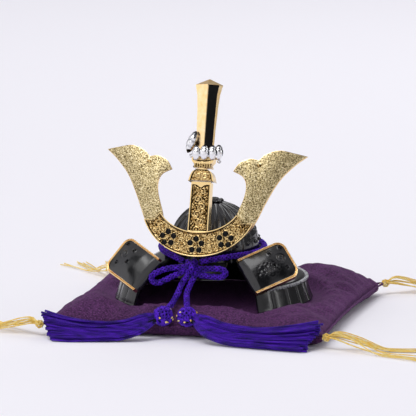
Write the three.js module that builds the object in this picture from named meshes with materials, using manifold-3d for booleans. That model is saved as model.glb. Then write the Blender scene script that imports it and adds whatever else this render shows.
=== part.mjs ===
// A small samurai helmet on its cushion, as a display ornament: millimetres, +Z up, the face opening
// towards -Y, origin on the cushion's flat underside, below its centre.

import * as THREE from 'three';
import { mergeVertices } from 'three/addons/utils/BufferGeometryUtils.js';
import Module from 'manifold-3d';

const wasm = await Module();
wasm.setup();

// Clearances and walls
const GAP = 0.3; // between pieces that sit on each other
const WALL = 1.6; // cast shell of the helmet

// Cushion
const CUSHION_SIDE = 150;
const CUSHION_PULL = 8; // how far each side draws in at its middle
const CUSHION_CROWN = 20;
const SEAM_HEIGHT = 6;
const SOLE_INSET = 7; // from the seam to the flat underside
const DENT_MARGIN = 1.5; // of the hollow pressed by the helmet, outside the neck guard
const FRONT_PRESS = 5; // how far the tassel heads press the front edge down

// Bowl, an upright dome on an oval plan
const SEAT_HEIGHT = 10.5; // where the neck guard's hem stands on the cushion
const HELMET_Y = -4; // the bowl's centre, from the cushion's
const BOWL_HALF_WIDTH = 23.4;
const BOWL_HALF_DEPTH = 26;
const BOWL_RIM_HEIGHT = 33;
const DOME_HEIGHT = 23.4;
const DOME_EXPONENT = 1.9; // of the superellipse that the dome's profile follows
const WAIST_HEIGHT = 38.8; // where the dome starts to curve in
const WAIST_BAND_HEIGHT = 7.7;
const WAIST_BAND_RISE = 0.5;
const RIB_COUNT = 20;
const RIB_RISE = 0.8;
const RIVET_RADIUS = 0.9;
const RIVET_RISE = 3.2; // above the waist
const FINIAL_RADIUS = 4.4;
const FINIAL_HEIGHT = 1.9;
const FINIAL_LOBES = 8;

// Neck guard and brim
const GUARD_HEM_RADIUS = 55.5;
const GUARD_BACK_SHARE = 0.9; // the back is this much shallower than the front
const GUARD_TOP = 36;
const GUARD_OPENING = 40.6; // degrees from straight ahead to each front edge
const SCALE_COUNT = 24;
const SCALE_GROOVE = 0.7;
const BRIM_RISE = 0.4; // its top edge, above the bowl's rim
const BRIM_DROP = 8.6;
const BRIM_REACH = 3.6; // forward, from its top edge to its lower one
const BRIM_SPREAD = 30; // degrees to each side

// Turnbacks, the panels beside the face
const PANEL_WIDTH = 27;
const PANEL_HEIGHT = 19.8;
const PANEL_CORNER = 5;
const PANEL_OUT = 5.6; // its centre, sideways from the guard's front edge
const PANEL_BACK = 2.4; // and backwards from it
const PANEL_LOW = 2.6; // and below the guard's top
const PANEL_YAW = 23.3; // degrees, outwards
const PANEL_PITCH = 34.8; // degrees, upwards
const PANEL_ROLL = 23; // degrees, outer end up
const PANEL_CROWN = 0.8;
const RIM_WIDTH = 1.8;
const RIM_DEPTH = 3;
const CREST_RING = 6; // radius of the ring of dimples
const DIMPLE_RADIUS = 0.75;
const BOSS_RADIUS = 1.7;

// Front crest: a plate and two horns, on one leaning and swept plane
const CREST_AHEAD = 16.7; // the middle blossom's centre, in front of the bowl
const CREST_RISE = 13; // and above the bowl's rim
const CREST_LEAN = 18; // degrees
const CREST_CURVE = 166.7; // radius of the curve that carries the crest's ends back
const PLATE_THICKNESS = 2.2;
const PLATE_BORDER = 1.1;
const PLATE_POCKET = 0.5;
const PLATE_HALF_WIDTH = 31.5;
const PLATE_DEPTH = 28.4;
const PLATE_LOW = -6.2;
const PLATE_MOUTH_HALF_WIDTH = 22.5;
const PLATE_MOUTH_DEPTH = 16.5;
const PLATE_MOUTH_LOW = 6.8;
const PLATE_OUTER_END = 0.36; // cosine of each outer tip's place on its half ellipse
const PLATE_INNER_END = 0.43; // of each inner tip's
const PLATE_NOTCH = 0.09; // how far each end's notch runs in, as a share of the half arc
const PETAL_COUNT = 5;
const PETAL_RADIUS = 1.3;
const PETAL_RING = 3.1;
const PETAL_SINK = 0.6;
const SIDE_BLOSSOM_X = 15.4;
const SIDE_BLOSSOM_RISE = 3.2;
const HORN_REACH = 54.2;
const HORN_TOP = 51.2;
const HORN_THICKNESS = 1.6;
const HORN_GAP = 0.7; // behind the swept plate

// Sword standing in the crest
const HANDLE_HALF_WIDTH = 5.3;
const HANDLE_DEPTH = 5.6;
const HANDLE_FOOT = -4; // behind the plate
const HANDLE_HEAD = 33.7;
const CAP_HALF_WIDTH = 6.6;
const CAP_HEIGHT = 7;
const COLLAR_HALF_WIDTH = 5.9;
const COLLAR_HEIGHT = 7.8;
const BLADE_HALF_WIDTH = 5;
const BLADE_LENGTH = 39.8;
const BLADE_FLARE = 2.4;
const BLADE_HALF_DEPTH = 3.6;
const CLAW_RADIUS = 1.8;
const CLAW_LENGTH = 8;
const POST_RADIUS = 3;

// Cord and tassels
const CORD_DIAMETER = 3.2;
const CORD_SIDES = 8;
const KNOT_RADIUS = 4.4;
const KNOT_SIDE = 3; // its centre, to the left of the middle
const KNOT_AHEAD = 12; // in front of the bowl
const KNOT_RISE = 0.4; // above the bowl's rim
const TASSEL_HEAD_RADIUS = 5.3;
const SKIRT_LOCKS = 5;
const SKIRT_LEFT_RUN = 62;
const SKIRT_RIGHT_RUN = 73;
const SKIRT_SPREAD = 22; // forward, from its upper strands to those on the table
const LOCK_HALF_THICKNESS = 1.6;
const SKIRT_LOW = 1.9; // middle of the locks that lie on the table
const THREAD_LENGTH = 60;
const THREAD_RADIUS = 0.8;
const THREAD_KNOT_RADIUS = 2;

const radians = THREE.MathUtils.degToRad;
const point = (x, y, z) => new THREE.Vector3(x, y, z);
const lerp = THREE.MathUtils.lerp;

// Solids

function closedGeometry(positions, index) {
  const geometry = new THREE.BufferGeometry();
  geometry.setAttribute('position', new THREE.Float32BufferAttribute(positions, 3));
  geometry.setIndex(index);
  return facingOut(geometry);
}

function facingOut(geometry) {
  // A mirrored or inward solid gets its triangles turned round.
  const p = geometry.attributes.position;
  const order = Array.from(geometry.index.array);
  const [a, b, c] = [point(), point(), point()];
  let volume = 0;
  for (let i = 0; i < order.length; i += 3) {
    a.fromBufferAttribute(p, order[i]);
    b.fromBufferAttribute(p, order[i + 1]);
    c.fromBufferAttribute(p, order[i + 2]);
    volume += a.dot(b.cross(c));
  }
  if (volume < 0) {
    for (let i = 0; i < order.length; i += 3) {
      [order[i + 1], order[i + 2]] = [order[i + 2], order[i + 1]];
    }
    geometry.setIndex(order);
  }
  return geometry;
}

function bare(geometry) {
  // Only positions, with shared corners merged.
  const copy = geometry.clone();
  copy.deleteAttribute('normal');
  copy.deleteAttribute('uv');
  return facingOut(mergeVertices(copy, 1e-4));
}

function ringSolid(rings) {
  // A closed solid through rings of equally many points, with a fan over the first and the last.
  const count = rings[0].length;
  const positions = rings.flat().flatMap((p) => p.toArray());
  const index = [];
  for (let i = 0; i + 1 < rings.length; i++) {
    for (let j = 0; j < count; j++) {
      const [a, b] = [i * count + j, i * count + ((j + 1) % count)];
      index.push(a, b, b + count, a, b + count, a + count);
    }
  }
  for (const [row, turned] of [[0, true], [rings.length - 1, false]]) {
    const middle = rings[row].reduce((sum, p) => sum.add(p), point(0, 0, 0)).divideScalar(count);
    const hub = positions.length / 3;
    positions.push(...middle.toArray());
    for (let j = 0; j < count; j++) {
      const [a, b] = [row * count + j, row * count + ((j + 1) % count)];
      index.push(hub, ...(turned ? [b, a] : [a, b]));
    }
  }
  return closedGeometry(positions, index);
}

function sheetSolid(grid, thickness) {
  // A closed plate of even thickness about a grid of points, rows by columns.
  const [rows, columns] = [grid.length, grid[0].length];
  const at = (i, j) => grid[THREE.MathUtils.clamp(i, 0, rows - 1)][THREE.MathUtils.clamp(j, 0, columns - 1)];
  const positions = [];
  for (const side of [0.5, -0.5]) {
    for (let i = 0; i < rows; i++) {
      for (let j = 0; j < columns; j++) {
        const along = at(i, j + 1).clone().sub(at(i, j - 1));
        const across = at(i + 1, j).clone().sub(at(i - 1, j));
        const normal = along.cross(across).normalize();
        positions.push(...at(i, j).clone().addScaledVector(normal, side * thickness).toArray());
      }
    }
  }
  const far = rows * columns;
  const index = [];
  const quad = (a, b, c, d) => index.push(a, b, c, a, c, d);
  for (let i = 0; i + 1 < rows; i++) {
    for (let j = 0; j + 1 < columns; j++) {
      const a = i * columns + j;
      quad(a, a + 1, a + columns + 1, a + columns);
      quad(far + a, far + a + columns, far + a + columns + 1, far + a + 1);
    }
    const [first, last] = [i * columns, (i + 1) * columns - 1];
    quad(first, first + columns, far + first + columns, far + first);
    quad(last + columns, last, far + last, far + last + columns);
  }
  for (let j = 0; j + 1 < columns; j++) {
    const end = (rows - 1) * columns + j;
    quad(j + 1, j, far + j, far + j + 1);
    quad(end, end + 1, far + end + 1, far + end);
  }
  return closedGeometry(positions, index);
}

function roundSection(halfWidth, halfHeight, sides) {
  const corners = [];
  for (let i = 0; i < sides; i++) {
    const turn = (2 * Math.PI * i) / sides;
    corners.push(new THREE.Vector2(halfHeight * Math.cos(turn), halfWidth * Math.sin(turn)));
  }
  return new THREE.Shape(corners);
}

function tube(points, halfWidth, halfHeight, sides, steps) {
  const path = new THREE.CatmullRomCurve3(points, false, 'centripetal');
  const section = roundSection(halfWidth, halfHeight, sides);
  return bare(new THREE.ExtrudeGeometry(section, { steps, extrudePath: path, bevelEnabled: false }));
}

function slab(shape, depth, segments = 6) {
  const options = { depth, bevelEnabled: false, curveSegments: segments };
  return bare(new THREE.ExtrudeGeometry(shape, options));
}

function solidOf(geometry) {
  const vertProperties = new Float32Array(geometry.attributes.position.array);
  const triVerts = new Uint32Array(geometry.index.array);
  return new wasm.Manifold(new wasm.Mesh({ numProp: 3, vertProperties, triVerts }));
}

function geometryOf(solid) {
  const { numProp, vertProperties, triVerts } = solid.getMesh();
  const positions = [];
  for (let i = 0; i < vertProperties.length; i += numProp) {
    positions.push(vertProperties[i], vertProperties[i + 1], vertProperties[i + 2]);
  }
  return closedGeometry(positions, Array.from(triVerts));
}

function fused(...geometries) {
  return geometryOf(geometries.map(solidOf).reduce((sum, next) => sum.add(next)));
}

function cut(geometry, ...tools) {
  return geometryOf(tools.map(solidOf).reduce((rest, tool) => rest.subtract(tool), solidOf(geometry)));
}

function moved(geometry, change) {
  // Each point of a copy goes where change puts it.
  const copy = geometry.clone();
  const p = copy.attributes.position;
  const place = point();
  for (let i = 0; i < p.count; i++) {
    place.fromBufferAttribute(p, i);
    change(place);
    p.setXYZ(i, place.x, place.y, place.z);
  }
  return facingOut(copy);
}

const mirrored = (geometry) => moved(geometry, (p) => p.set(-p.x, p.y, p.z));
const placed = (geometry, matrix) => moved(geometry, (p) => p.applyMatrix4(matrix));

// Finishes

const FINISHES = {
  lacquer: { color: 0x141517, roughness: 0.25, metalness: 0 },
  gold: { color: 0xe3c47c, roughness: 0.35, metalness: 1 },
  silver: { color: 0xe6e6e8, roughness: 0.15, metalness: 1 },
  cord: { color: 0x4a22b4, roughness: 0.6, metalness: 0 },
  crepe: { color: 0x4b2a55, roughness: 0.9, metalness: 0 },
  thread: { color: 0xe6c063, roughness: 0.45, metalness: 0.3 },
};

const helmet = new THREE.Group();

function add(name, finish, geometry) {
  geometry.computeVertexNormals();
  const mesh = new THREE.Mesh(geometry, new THREE.MeshStandardMaterial(FINISHES[finish]));
  mesh.name = name;
  helmet.add(mesh);
}

// Cushion: a square with drawn-out corners, hollowed where the helmet stands

const HALF_SIDE = CUSHION_SIDE / 2;
const COLUMNS_A_SIDE = 14;

function cushionSquare(x, y) {
  // Where a point lies in the cushion's square, from -1 to 1 each way.
  let [u, v] = [x / HALF_SIDE, y / HALF_SIDE];
  const pull = CUSHION_PULL / HALF_SIDE;
  for (let i = 0; i < 6; i++) {
    u = x / (HALF_SIDE * (1 - pull * (1 - v * v)));
    v = y / (HALF_SIDE * (1 - pull * (1 - u * u)));
  }
  return [THREE.MathUtils.clamp(u, -1, 1), THREE.MathUtils.clamp(v, -1, 1)];
}

function cushionTop(x, y) {
  const [u, v] = cushionSquare(x, y);
  const swell = ((1 - u ** 4) * (1 - v ** 4)) ** 0.7;
  const press = Math.exp(-(((x + 6) / 24) ** 2)) * Math.exp(-(((y + HALF_SIDE - 11) / 9) ** 2));
  return SEAM_HEIGHT + (CUSHION_CROWN - SEAM_HEIGHT) * swell - FRONT_PRESS * press * swell;
}

function guardPlan(turn, halfWidth, halfDepth) {
  // A point of the helmet's plan, turn in degrees from straight ahead; the back is shallower.
  const [s, c] = [Math.sin(radians(turn)), Math.cos(radians(turn))];
  const back = c < 0 ? lerp(1, GUARD_BACK_SHARE, Math.min(1, (halfDepth - BOWL_HALF_DEPTH) / 20)) : 1;
  return [halfWidth * s, HELMET_Y - halfDepth * c * back];
}

function dentReach(direction) {
  // From the helmet's centre to the edge of the hollow, which is nearer in the face opening.
  const turn = Math.abs(THREE.MathUtils.radToDeg(Math.atan2(direction.x, -direction.y)));
  const outside = GUARD_HEM_RADIUS + WALL / 2 + DENT_MARGIN;
  const inside = GUARD_HEM_RADIUS - 9;
  return lerp(inside, outside, THREE.MathUtils.smoothstep(turn, 20, GUARD_OPENING - 6));
}

function cushionBorder() {
  const border = [];
  const pull = CUSHION_PULL;
  for (let side = 0; side < 4; side++) {
    for (let i = 0; i < COLUMNS_A_SIDE; i++) {
      const t = (2 * i) / COLUMNS_A_SIDE - 1;
      const corner = point(HALF_SIDE * t, -HALF_SIDE + pull * (1 - t * t), SEAM_HEIGHT);
      border.push(corner.applyAxisAngle(point(0, 0, 1), (side * Math.PI) / 2));
    }
  }
  return border;
}

function cushionRings() {
  const border = cushionBorder();
  const middle = point(0, HELMET_Y, 0);
  const ring = (make) => border.map((edge) => {
    const out = edge.clone().sub(middle).setZ(0);
    const reach = out.length();
    return make(out.divideScalar(reach), reach);
  });
  const under = (inset, z) => ring((way, reach) => middle.clone().addScaledVector(way, reach - inset).setZ(z));
  const over = (share) => ring((way, reach) => {
    const dent = Math.min(dentReach(way) + 1.5, reach - 2);
    const p = middle.clone().addScaledVector(way, lerp(reach, dent, share));
    return p.setZ(cushionTop(p.x, p.y));
  });
  const floor = SEAT_HEIGHT - GAP;
  const hollow = (share) => ring((way, reach) => {
    const dent = Math.min(dentReach(way), reach - 3.5);
    const p = middle.clone().addScaledVector(way, dent * share);
    return p.setZ(Math.min(cushionTop(p.x, p.y), floor));
  });
  return [
    under(HALF_SIDE * 0.6, 0), under(SOLE_INSET, 0), under(SOLE_INSET * 0.35, SEAM_HEIGHT * 0.3), border,
    over(0.12), over(0.35), over(0.65), over(1), hollow(1), hollow(0.75), hollow(0.35),
  ];
}

add('cushion', 'crepe', ringSolid(cushionRings()));

// Bowl: plates between standing ribs over a waist band with rivets

const WAIST_BAND_TOP = WAIST_HEIGHT + WAIST_BAND_HEIGHT;
const RIVET_HEIGHT = WAIST_HEIGHT + RIVET_RISE;
const DOME_TURNS = [0, 20, 38, 55, 70, 82]; // degrees up the dome

function domeRow(turn) {
  // Height and share of the plan's half axes, up the dome.
  const [s, c] = [Math.sin(radians(turn)), Math.cos(radians(turn))];
  const power = 2 / DOME_EXPONENT;
  return [WAIST_HEIGHT + DOME_HEIGHT * s ** power, c ** power];
}

function domeShare(height) {
  const rise = THREE.MathUtils.clamp((height - WAIST_HEIGHT) / DOME_HEIGHT, 0, 1);
  return (1 - rise ** DOME_EXPONENT) ** (1 / DOME_EXPONENT);
}

function bowlRing(height, share, grow, rib, columns) {
  const ring = [];
  for (let i = 0; i < columns; i++) {
    const turn = (360 * (Math.floor(i / 3) + [0, 0.2, 0.8][i % 3])) / (columns / 3);
    const rise = grow + (i % 3 === 0 ? rib : 0);
    const s = Math.sin(radians(turn));
    const c = Math.cos(radians(turn));
    const x = (BOWL_HALF_WIDTH * share + rise) * s;
    ring.push(point(x, HELMET_Y - (BOWL_HALF_DEPTH * share + rise) * c, height));
  }
  return ring;
}

function bowl() {
  const columns = 3 * RIB_COUNT;
  const bandShare = domeShare(WAIST_BAND_TOP);
  const outer = [
    bowlRing(BOWL_RIM_HEIGHT, 1, WAIST_BAND_RISE + 0.3, -0.4, columns),
    bowlRing(WAIST_HEIGHT, 1, WAIST_BAND_RISE, -0.4, columns),
    bowlRing(WAIST_BAND_TOP, bandShare, WAIST_BAND_RISE, -0.4, columns),
    bowlRing(WAIST_BAND_TOP + 0.2, bandShare, 0, RIB_RISE, columns),
  ];
  for (const turn of DOME_TURNS) {
    const [height, share] = domeRow(turn);
    if (height > WAIST_BAND_TOP + 1) {
      outer.push(bowlRing(height, share, 0, RIB_RISE * Math.min(1, share * 2), columns));
    }
  }
  const inner = [bowlRing(BOWL_RIM_HEIGHT - 1, 1, -WALL, 0, 24), bowlRing(WAIST_HEIGHT, 1, -WALL, 0, 24)];
  for (const turn of DOME_TURNS.slice(1, -1)) {
    const [height, share] = domeRow(turn);
    inner.push(bowlRing(height - WALL * Math.sin(radians(turn)), share, -WALL, 0, 24));
  }
  let shell = solidOf(ringSolid(outer)).subtract(solidOf(ringSolid(inner)));
  for (let i = 0; i < RIB_COUNT; i++) {
    const turn = radians((360 * (i + 0.5)) / RIB_COUNT);
    const share = domeShare(RIVET_HEIGHT);
    const rivet = new THREE.SphereGeometry(RIVET_RADIUS, 5, 3);
    const x = (BOWL_HALF_WIDTH * share + WAIST_BAND_RISE) * Math.sin(turn);
    const y = HELMET_Y - (BOWL_HALF_DEPTH * share + WAIST_BAND_RISE) * Math.cos(turn);
    shell = shell.add(solidOf(bare(rivet.translate(x, y, RIVET_HEIGHT))));
  }
  return geometryOf(shell);
}

add('bowl', 'lacquer', bowl());

const BOWL_TOP = domeRow(DOME_TURNS.at(-1))[0];

function finial() {
  const profile = [[1, 0], [1, 0.25], [0.62, 0.5], [0.5, 0.6], [0.55, 0.85], [0.3, 1]]; // radius, height shares
  const sides = 2 * FINIAL_LOBES;
  return ringSolid(profile.map(([radius, height]) => {
    const ring = [];
    for (let i = 0; i < sides; i++) {
      const turn = (2 * Math.PI * i) / sides;
      const r = FINIAL_RADIUS * radius * (i % 2 ? 0.86 : 1);
      const z = BOWL_TOP + GAP + FINIAL_HEIGHT * height;
      ring.push(point(r * Math.sin(turn), HELMET_Y - r * Math.cos(turn), z));
    }
    return ring;
  }));
}

add('bowl_finial', 'lacquer', finial());

// Neck guard: a smooth upper lame, a laced rope line and wide scales down to the hem

const GUARD_ROWS = [
  // drop, spread: shares from the top edge to the hem; groove: share of the scale groove
  { drop: 0, spread: 0, groove: 0 },
  { drop: 0.52, spread: 0.83, groove: 0 },
  { drop: 0.56, spread: 0.87, groove: 0 },
  { drop: 0.62, spread: 0.87, groove: 1 },
  { drop: 1, spread: 1, groove: 1 },
];

function neckGuard() {
  const topWidth = BOWL_HALF_WIDTH + WAIST_BAND_RISE + GAP + WALL / 2;
  const topDepth = BOWL_HALF_DEPTH + WAIST_BAND_RISE + GAP + WALL / 2;
  const span = (360 - 2 * GUARD_OPENING) / SCALE_COUNT;
  return sheetSolid(GUARD_ROWS.map(({ drop, spread, groove }) => {
    const row = [];
    const height = lerp(GUARD_TOP, SEAT_HEIGHT, drop);
    for (let i = 0; i < 3 * SCALE_COUNT + 1; i++) {
      const turn = GUARD_OPENING + span * (Math.floor(i / 3) + [0, 0.14, 0.86][i % 3]);
      const inner = i % 3 === 0 && i > 0 && i < 3 * SCALE_COUNT ? SCALE_GROOVE * groove : 0;
      const halfWidth = lerp(topWidth, GUARD_HEM_RADIUS - WALL / 2, spread) - inner;
      const halfDepth = lerp(topDepth, GUARD_HEM_RADIUS - WALL / 2, spread) - inner;
      row.push(point(...guardPlan(turn, halfWidth, halfDepth), height));
    }
    return row;
  }), WALL);
}

// The sheet's hem face leans with its wall, so the whole guard is set down on the seat.
const guard = neckGuard();
guard.computeBoundingBox();
add('neck_guard', 'lacquer', guard.translate(0, 0, SEAT_HEIGHT - guard.boundingBox.min.z));

function brim() {
  const halfWidth = BOWL_HALF_WIDTH + WAIST_BAND_RISE + 3 * GAP + WALL / 2;
  const halfDepth = BOWL_HALF_DEPTH + WAIST_BAND_RISE + 3 * GAP + WALL / 2;
  return sheetSolid([0, 0.5, 1].map((drop) => {
    const row = [];
    for (let i = 0; i <= 10; i++) {
      const turn = BRIM_SPREAD * (0.2 * i - 1) * (1 - 0.15 * drop);
      const reach = BRIM_REACH * drop;
      const height = BOWL_RIM_HEIGHT + BRIM_RISE - BRIM_DROP * drop;
      row.push(point(...guardPlan(turn, halfWidth + reach, halfDepth + reach), height));
    }
    return row;
  }), WALL);
}

add('brim', 'lacquer', brim());

// Turnbacks: the front end of the guard's upper lame runs forward, folds and turns back as a panel

function panelFrame() {
  const facing = point(0, -1, 0);
  facing.applyAxisAngle(point(1, 0, 0), -radians(PANEL_PITCH)).applyAxisAngle(point(0, 0, 1), radians(PANEL_YAW));
  const level = point(1, 0, 0).applyAxisAngle(point(0, 0, 1), radians(PANEL_YAW));
  const along = level.applyAxisAngle(facing, radians(PANEL_ROLL));
  const up = facing.clone().cross(along);
  const reach = lerp(BOWL_HALF_DEPTH, GUARD_HEM_RADIUS, 0.7); // where the front edge meets the panel
  const [x, y] = guardPlan(GUARD_OPENING, reach, reach);
  const centre = point(x + PANEL_OUT, y + PANEL_BACK, GUARD_TOP - PANEL_LOW);
  return new THREE.Matrix4().makeBasis(along, up, facing).setPosition(centre);
}

const PANEL_FRAME = panelFrame();
const onPanel = (along, up, out) => point(along, up, out).applyMatrix4(PANEL_FRAME);
const PANEL_END = PANEL_WIDTH / 2 - RIM_WIDTH - GAP; // half width and height inside the rim
const PANEL_SIDE = PANEL_HEIGHT / 2 - RIM_WIDTH - GAP;

function panelHalfHeight(along) {
  const radius = PANEL_CORNER - RIM_WIDTH;
  const past = Math.max(0, along - (PANEL_END - radius));
  return PANEL_SIDE - radius + Math.sqrt(Math.max(0, radius * radius - past * past));
}

function turnback() {
  const stations = [-0.86, -0.5, -0.1, 0.3, 0.66, 0.8, 0.9, 0.97, 0.995].map((share) => share * PANEL_END);
  const rows = 4;
  const grid = [];
  for (let i = 0; i <= rows; i++) {
    const up = 1 - (2 * i) / rows;
    const row = [];
    const turn = GUARD_OPENING;
    const spread = lerp(0.12, 0.8, i / rows);
    const drop = lerp(0.08, 0.5, i / rows);
    const reach = lerp(BOWL_HALF_DEPTH + 2, GUARD_HEM_RADIUS, spread);
    const edge = point(...guardPlan(turn - 3.6, reach, reach), lerp(GUARD_TOP, SEAT_HEIGHT, drop));
    const fold = onPanel(-PANEL_END - 1.2, up * PANEL_SIDE, -3.2);
    row.push(edge, edge.clone().lerp(fold, 0.55), fold, onPanel(-PANEL_END - 0.4, up * PANEL_SIDE, -1.1));
    for (const along of stations) {
      const crown = PANEL_CROWN * (1 - up * up) * (1 - (along / PANEL_END) ** 2);
      row.push(onPanel(along, up * panelHalfHeight(along), crown));
    }
    grid.push(row);
  }
  const sheet = sheetSolid(grid, WALL);
  const middle = [0.5 * PANEL_END + 1.4, 0.7];
  const disc = (along, up, radius, low, high, sides) => {
    const drum = new THREE.CylinderGeometry(radius, radius, high - low, sides);
    drum.rotateX(Math.PI / 2).translate(along, up, (low + high) / 2);
    return placed(bare(drum), PANEL_FRAME);
  };
  const dimples = [];
  for (let i = 0; i < PETAL_COUNT; i++) {
    const turn = radians(61.5 + (360 * i) / PETAL_COUNT);
    const [along, up] = [middle[0] + CREST_RING * Math.cos(turn), middle[1] + CREST_RING * Math.sin(turn)];
    dimples.push(disc(along, up, DIMPLE_RADIUS, WALL / 2 - 0.4, WALL / 2 + 2, 6));
  }
  const boss = disc(...middle, BOSS_RADIUS, WALL / 2 - 0.3, WALL / 2 + 1, 8);
  return cut(fused(sheet, boss), ...dimples);
}

function rimOutline(inset) {
  // Half of a long round-ended frame: along the top, round the outer end and back along the bottom.
  const [end, side] = [PANEL_WIDTH / 2 - inset, PANEL_HEIGHT / 2 - inset];
  const radius = PANEL_CORNER - inset;
  const start = -PANEL_WIDTH / 2;
  const line = [new THREE.Vector2(start, side)];
  for (const [from, cy] of [[90, side - radius], [0, radius - side]]) {
    for (let i = 0; i <= 4; i++) {
      const turn = radians(from - 22.5 * i);
      line.push(new THREE.Vector2(end - radius + radius * Math.cos(turn), cy + radius * Math.sin(turn)));
    }
  }
  line.push(new THREE.Vector2(start, -side));
  return line;
}

function turnbackRim() {
  const shape = new THREE.Shape([...rimOutline(0), ...rimOutline(RIM_WIDTH).reverse()]);
  const frame = slab(shape, RIM_DEPTH).translate(0, 0, -RIM_DEPTH * 0.6);
  return placed(frame, PANEL_FRAME);
}

const rightTurnback = turnback();
const rightRim = turnbackRim();
add('turnback_right', 'lacquer', rightTurnback);
add('turnback_left', 'lacquer', mirrored(rightTurnback));
add('turnback_rim_right', 'gold', rightRim);
add('turnback_rim_left', 'gold', mirrored(rightRim));

// Crest: shapes are drawn across (x), up the lean (y) and towards the front (z), then put on the plane

const CREST_Y = HELMET_Y - BOWL_HALF_DEPTH - CREST_AHEAD;
const CREST_Z = BOWL_RIM_HEIGHT + CREST_RISE;

function crestPlace(p) {
  const [s, c] = [Math.sin(radians(CREST_LEAN)), Math.cos(radians(CREST_LEAN))];
  const [x, up, out] = p.toArray();
  const back = (x * x) / (2 * CREST_CURVE);
  return p.set(x, CREST_Y + s * up - c * out + back, CREST_Z + c * up + s * out);
}

const onCrest = (geometry) => moved(geometry, crestPlace);

function crescent(inset, low, high) {
  // A plate along the crescent with notched ends, drawn in by inset, from low to high of the front.
  const outerMiddle = PLATE_LOW + PLATE_DEPTH;
  const innerMiddle = PLATE_MOUTH_LOW + PLATE_MOUTH_DEPTH;
  const outerLimit = Math.acos(PLATE_OUTER_END) - inset / PLATE_HALF_WIDTH;
  const innerLimit = Math.acos(PLATE_INNER_END) - (1.8 * inset) / PLATE_MOUTH_HALF_WIDTH;
  const stations = 18;
  const grid = [0, 0.5, 1].map((across) => {
    const row = [];
    const notched = 1 - PLATE_NOTCH * (1 - Math.abs(2 * across - 1));
    for (let i = 0; i <= stations; i++) {
      const even = (2 * i) / stations - 1;
      const share = even * lerp(1, notched, Math.abs(even) ** 6);
      const [outer, inner] = [share * outerLimit, share * innerLimit];
      const [outerWidth, outerDepth] = [PLATE_HALF_WIDTH - inset, PLATE_DEPTH - inset];
      const [innerWidth, innerDepth] = [PLATE_MOUTH_HALF_WIDTH + inset, PLATE_MOUTH_DEPTH + inset];
      const from = point(outerWidth * Math.sin(outer), outerMiddle - outerDepth * Math.cos(outer), 0);
      const to = point(innerWidth * Math.sin(inner), innerMiddle - innerDepth * Math.cos(inner), 0);
      row.push(from.lerp(to, across).setZ((low + high) / 2));
    }
    return row;
  });
  return onCrest(sheetSolid(grid, high - low));
}

function crestPlate() {
  const petals = [];
  for (const side of [-1, 0, 1]) {
    for (let i = 0; i < PETAL_COUNT; i++) {
      const turn = radians(90 + (360 * i) / PETAL_COUNT);
      const drum = new THREE.CylinderGeometry(PETAL_RADIUS, PETAL_RADIUS, 2, 6).rotateX(Math.PI / 2);
      const x = side * SIDE_BLOSSOM_X + PETAL_RING * Math.cos(turn);
      const y = Math.abs(side) * SIDE_BLOSSOM_RISE + PETAL_RING * Math.sin(turn);
      petals.push(onCrest(bare(drum.translate(x, y, 1 - PLATE_POCKET - PETAL_SINK))));
    }
  }
  return cut(crescent(0, -PLATE_THICKNESS, 0), crescent(PLATE_BORDER, -PLATE_POCKET, 1), ...petals);
}

add('crest_plate', 'gold', crestPlate());

// Edges of a horn between its corners, each a smooth line; across, up: shares of its reach and top
const HORN_EDGES = [
  [[0.48, 0.08], [0.55, 0.215], [0.644, 0.467], [0.755, 0.687], [0.889, 0.842], [1, 0.934]], // outer edge
  [[1, 0.934], [0.878, 0.969], [0.734, 1], [0.609, 0.961], [0.544, 0.898]], // top, to the notch
  [[0.544, 0.898], [0.454, 0.912], [0.36, 0.867], [0.303, 0.779]], // inner lobe
  [[0.303, 0.779], [0.397, 0.725], [0.435, 0.646], [0.428, 0.521], [0.371, 0.336], [0.34, 0.2]], // inner edge
];

function horn() {
  const outline = [];
  for (const edge of HORN_EDGES) {
    const corners = edge.map(([across, up]) => point(across * HORN_REACH, up * HORN_TOP, 0));
    const line = new THREE.CatmullRomCurve3(corners, false, 'centripetal').getPoints(3 * (edge.length - 1));
    outline.push(...line.slice(0, -1).map((p) => new THREE.Vector2(p.x, p.y)));
  }
  outline.push(new THREE.Vector2(0.34 * HORN_REACH, 0.16 * HORN_TOP));
  const back = -PLATE_THICKNESS - HORN_GAP - HORN_THICKNESS;
  const plate = slab(new THREE.Shape(outline), HORN_THICKNESS).translate(0, 0, back);
  const eye = new THREE.CylinderGeometry(1.3, 1.3, 2, 4).rotateX(Math.PI / 2);
  eye.translate(0.55 * HORN_REACH, 0.845 * HORN_TOP, back + HORN_THICKNESS + 0.6);
  return onCrest(cut(plate, bare(eye)));
}

const rightHorn = horn();
add('horn_right', 'gold', rightHorn);
add('horn_left', 'gold', mirrored(rightHorn));

// Sword: the handle stands behind the plate, the cap and collar on it, and the blade in the collar

const HANDLE_FRONT = -PLATE_THICKNESS - GAP;
const SWORD_MIDDLE = HANDLE_FRONT - HANDLE_DEPTH / 2;
const CAP_FOOT = HANDLE_HEAD + GAP;
const COLLAR_FOOT = CAP_FOOT + CAP_HEIGHT + GAP;
const BLADE_FOOT = COLLAR_FOOT + COLLAR_HEIGHT + GAP;

function centredSlab(outline, depth, middle) {
  const corners = outline.map(([x, y]) => new THREE.Vector2(x, y));
  return slab(new THREE.Shape(corners), depth).translate(0, 0, middle - depth / 2);
}

const bothSides = (right) => [...right, ...right.toReversed().map(([x, y]) => [-x, y])];

function swordHandle() {
  const [low, high, wide] = [HANDLE_FOOT, HANDLE_HEAD, HANDLE_HALF_WIDTH];
  const body = centredSlab(bothSides([[wide, low], [wide * 0.93, high]]), HANDLE_DEPTH, SWORD_MIDDLE);
  const inner = wide - 1.2;
  const panel = [[inner, PLATE_MOUTH_LOW + 1.6], [inner * 0.93, high - 1.6], [0, high - 3.2]];
  const pocket = centredSlab(bothSides(panel).filter(([x], i) => x !== 0 || i === 2), 2, HANDLE_FRONT + 0.5);
  return onCrest(cut(body, pocket));
}

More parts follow.
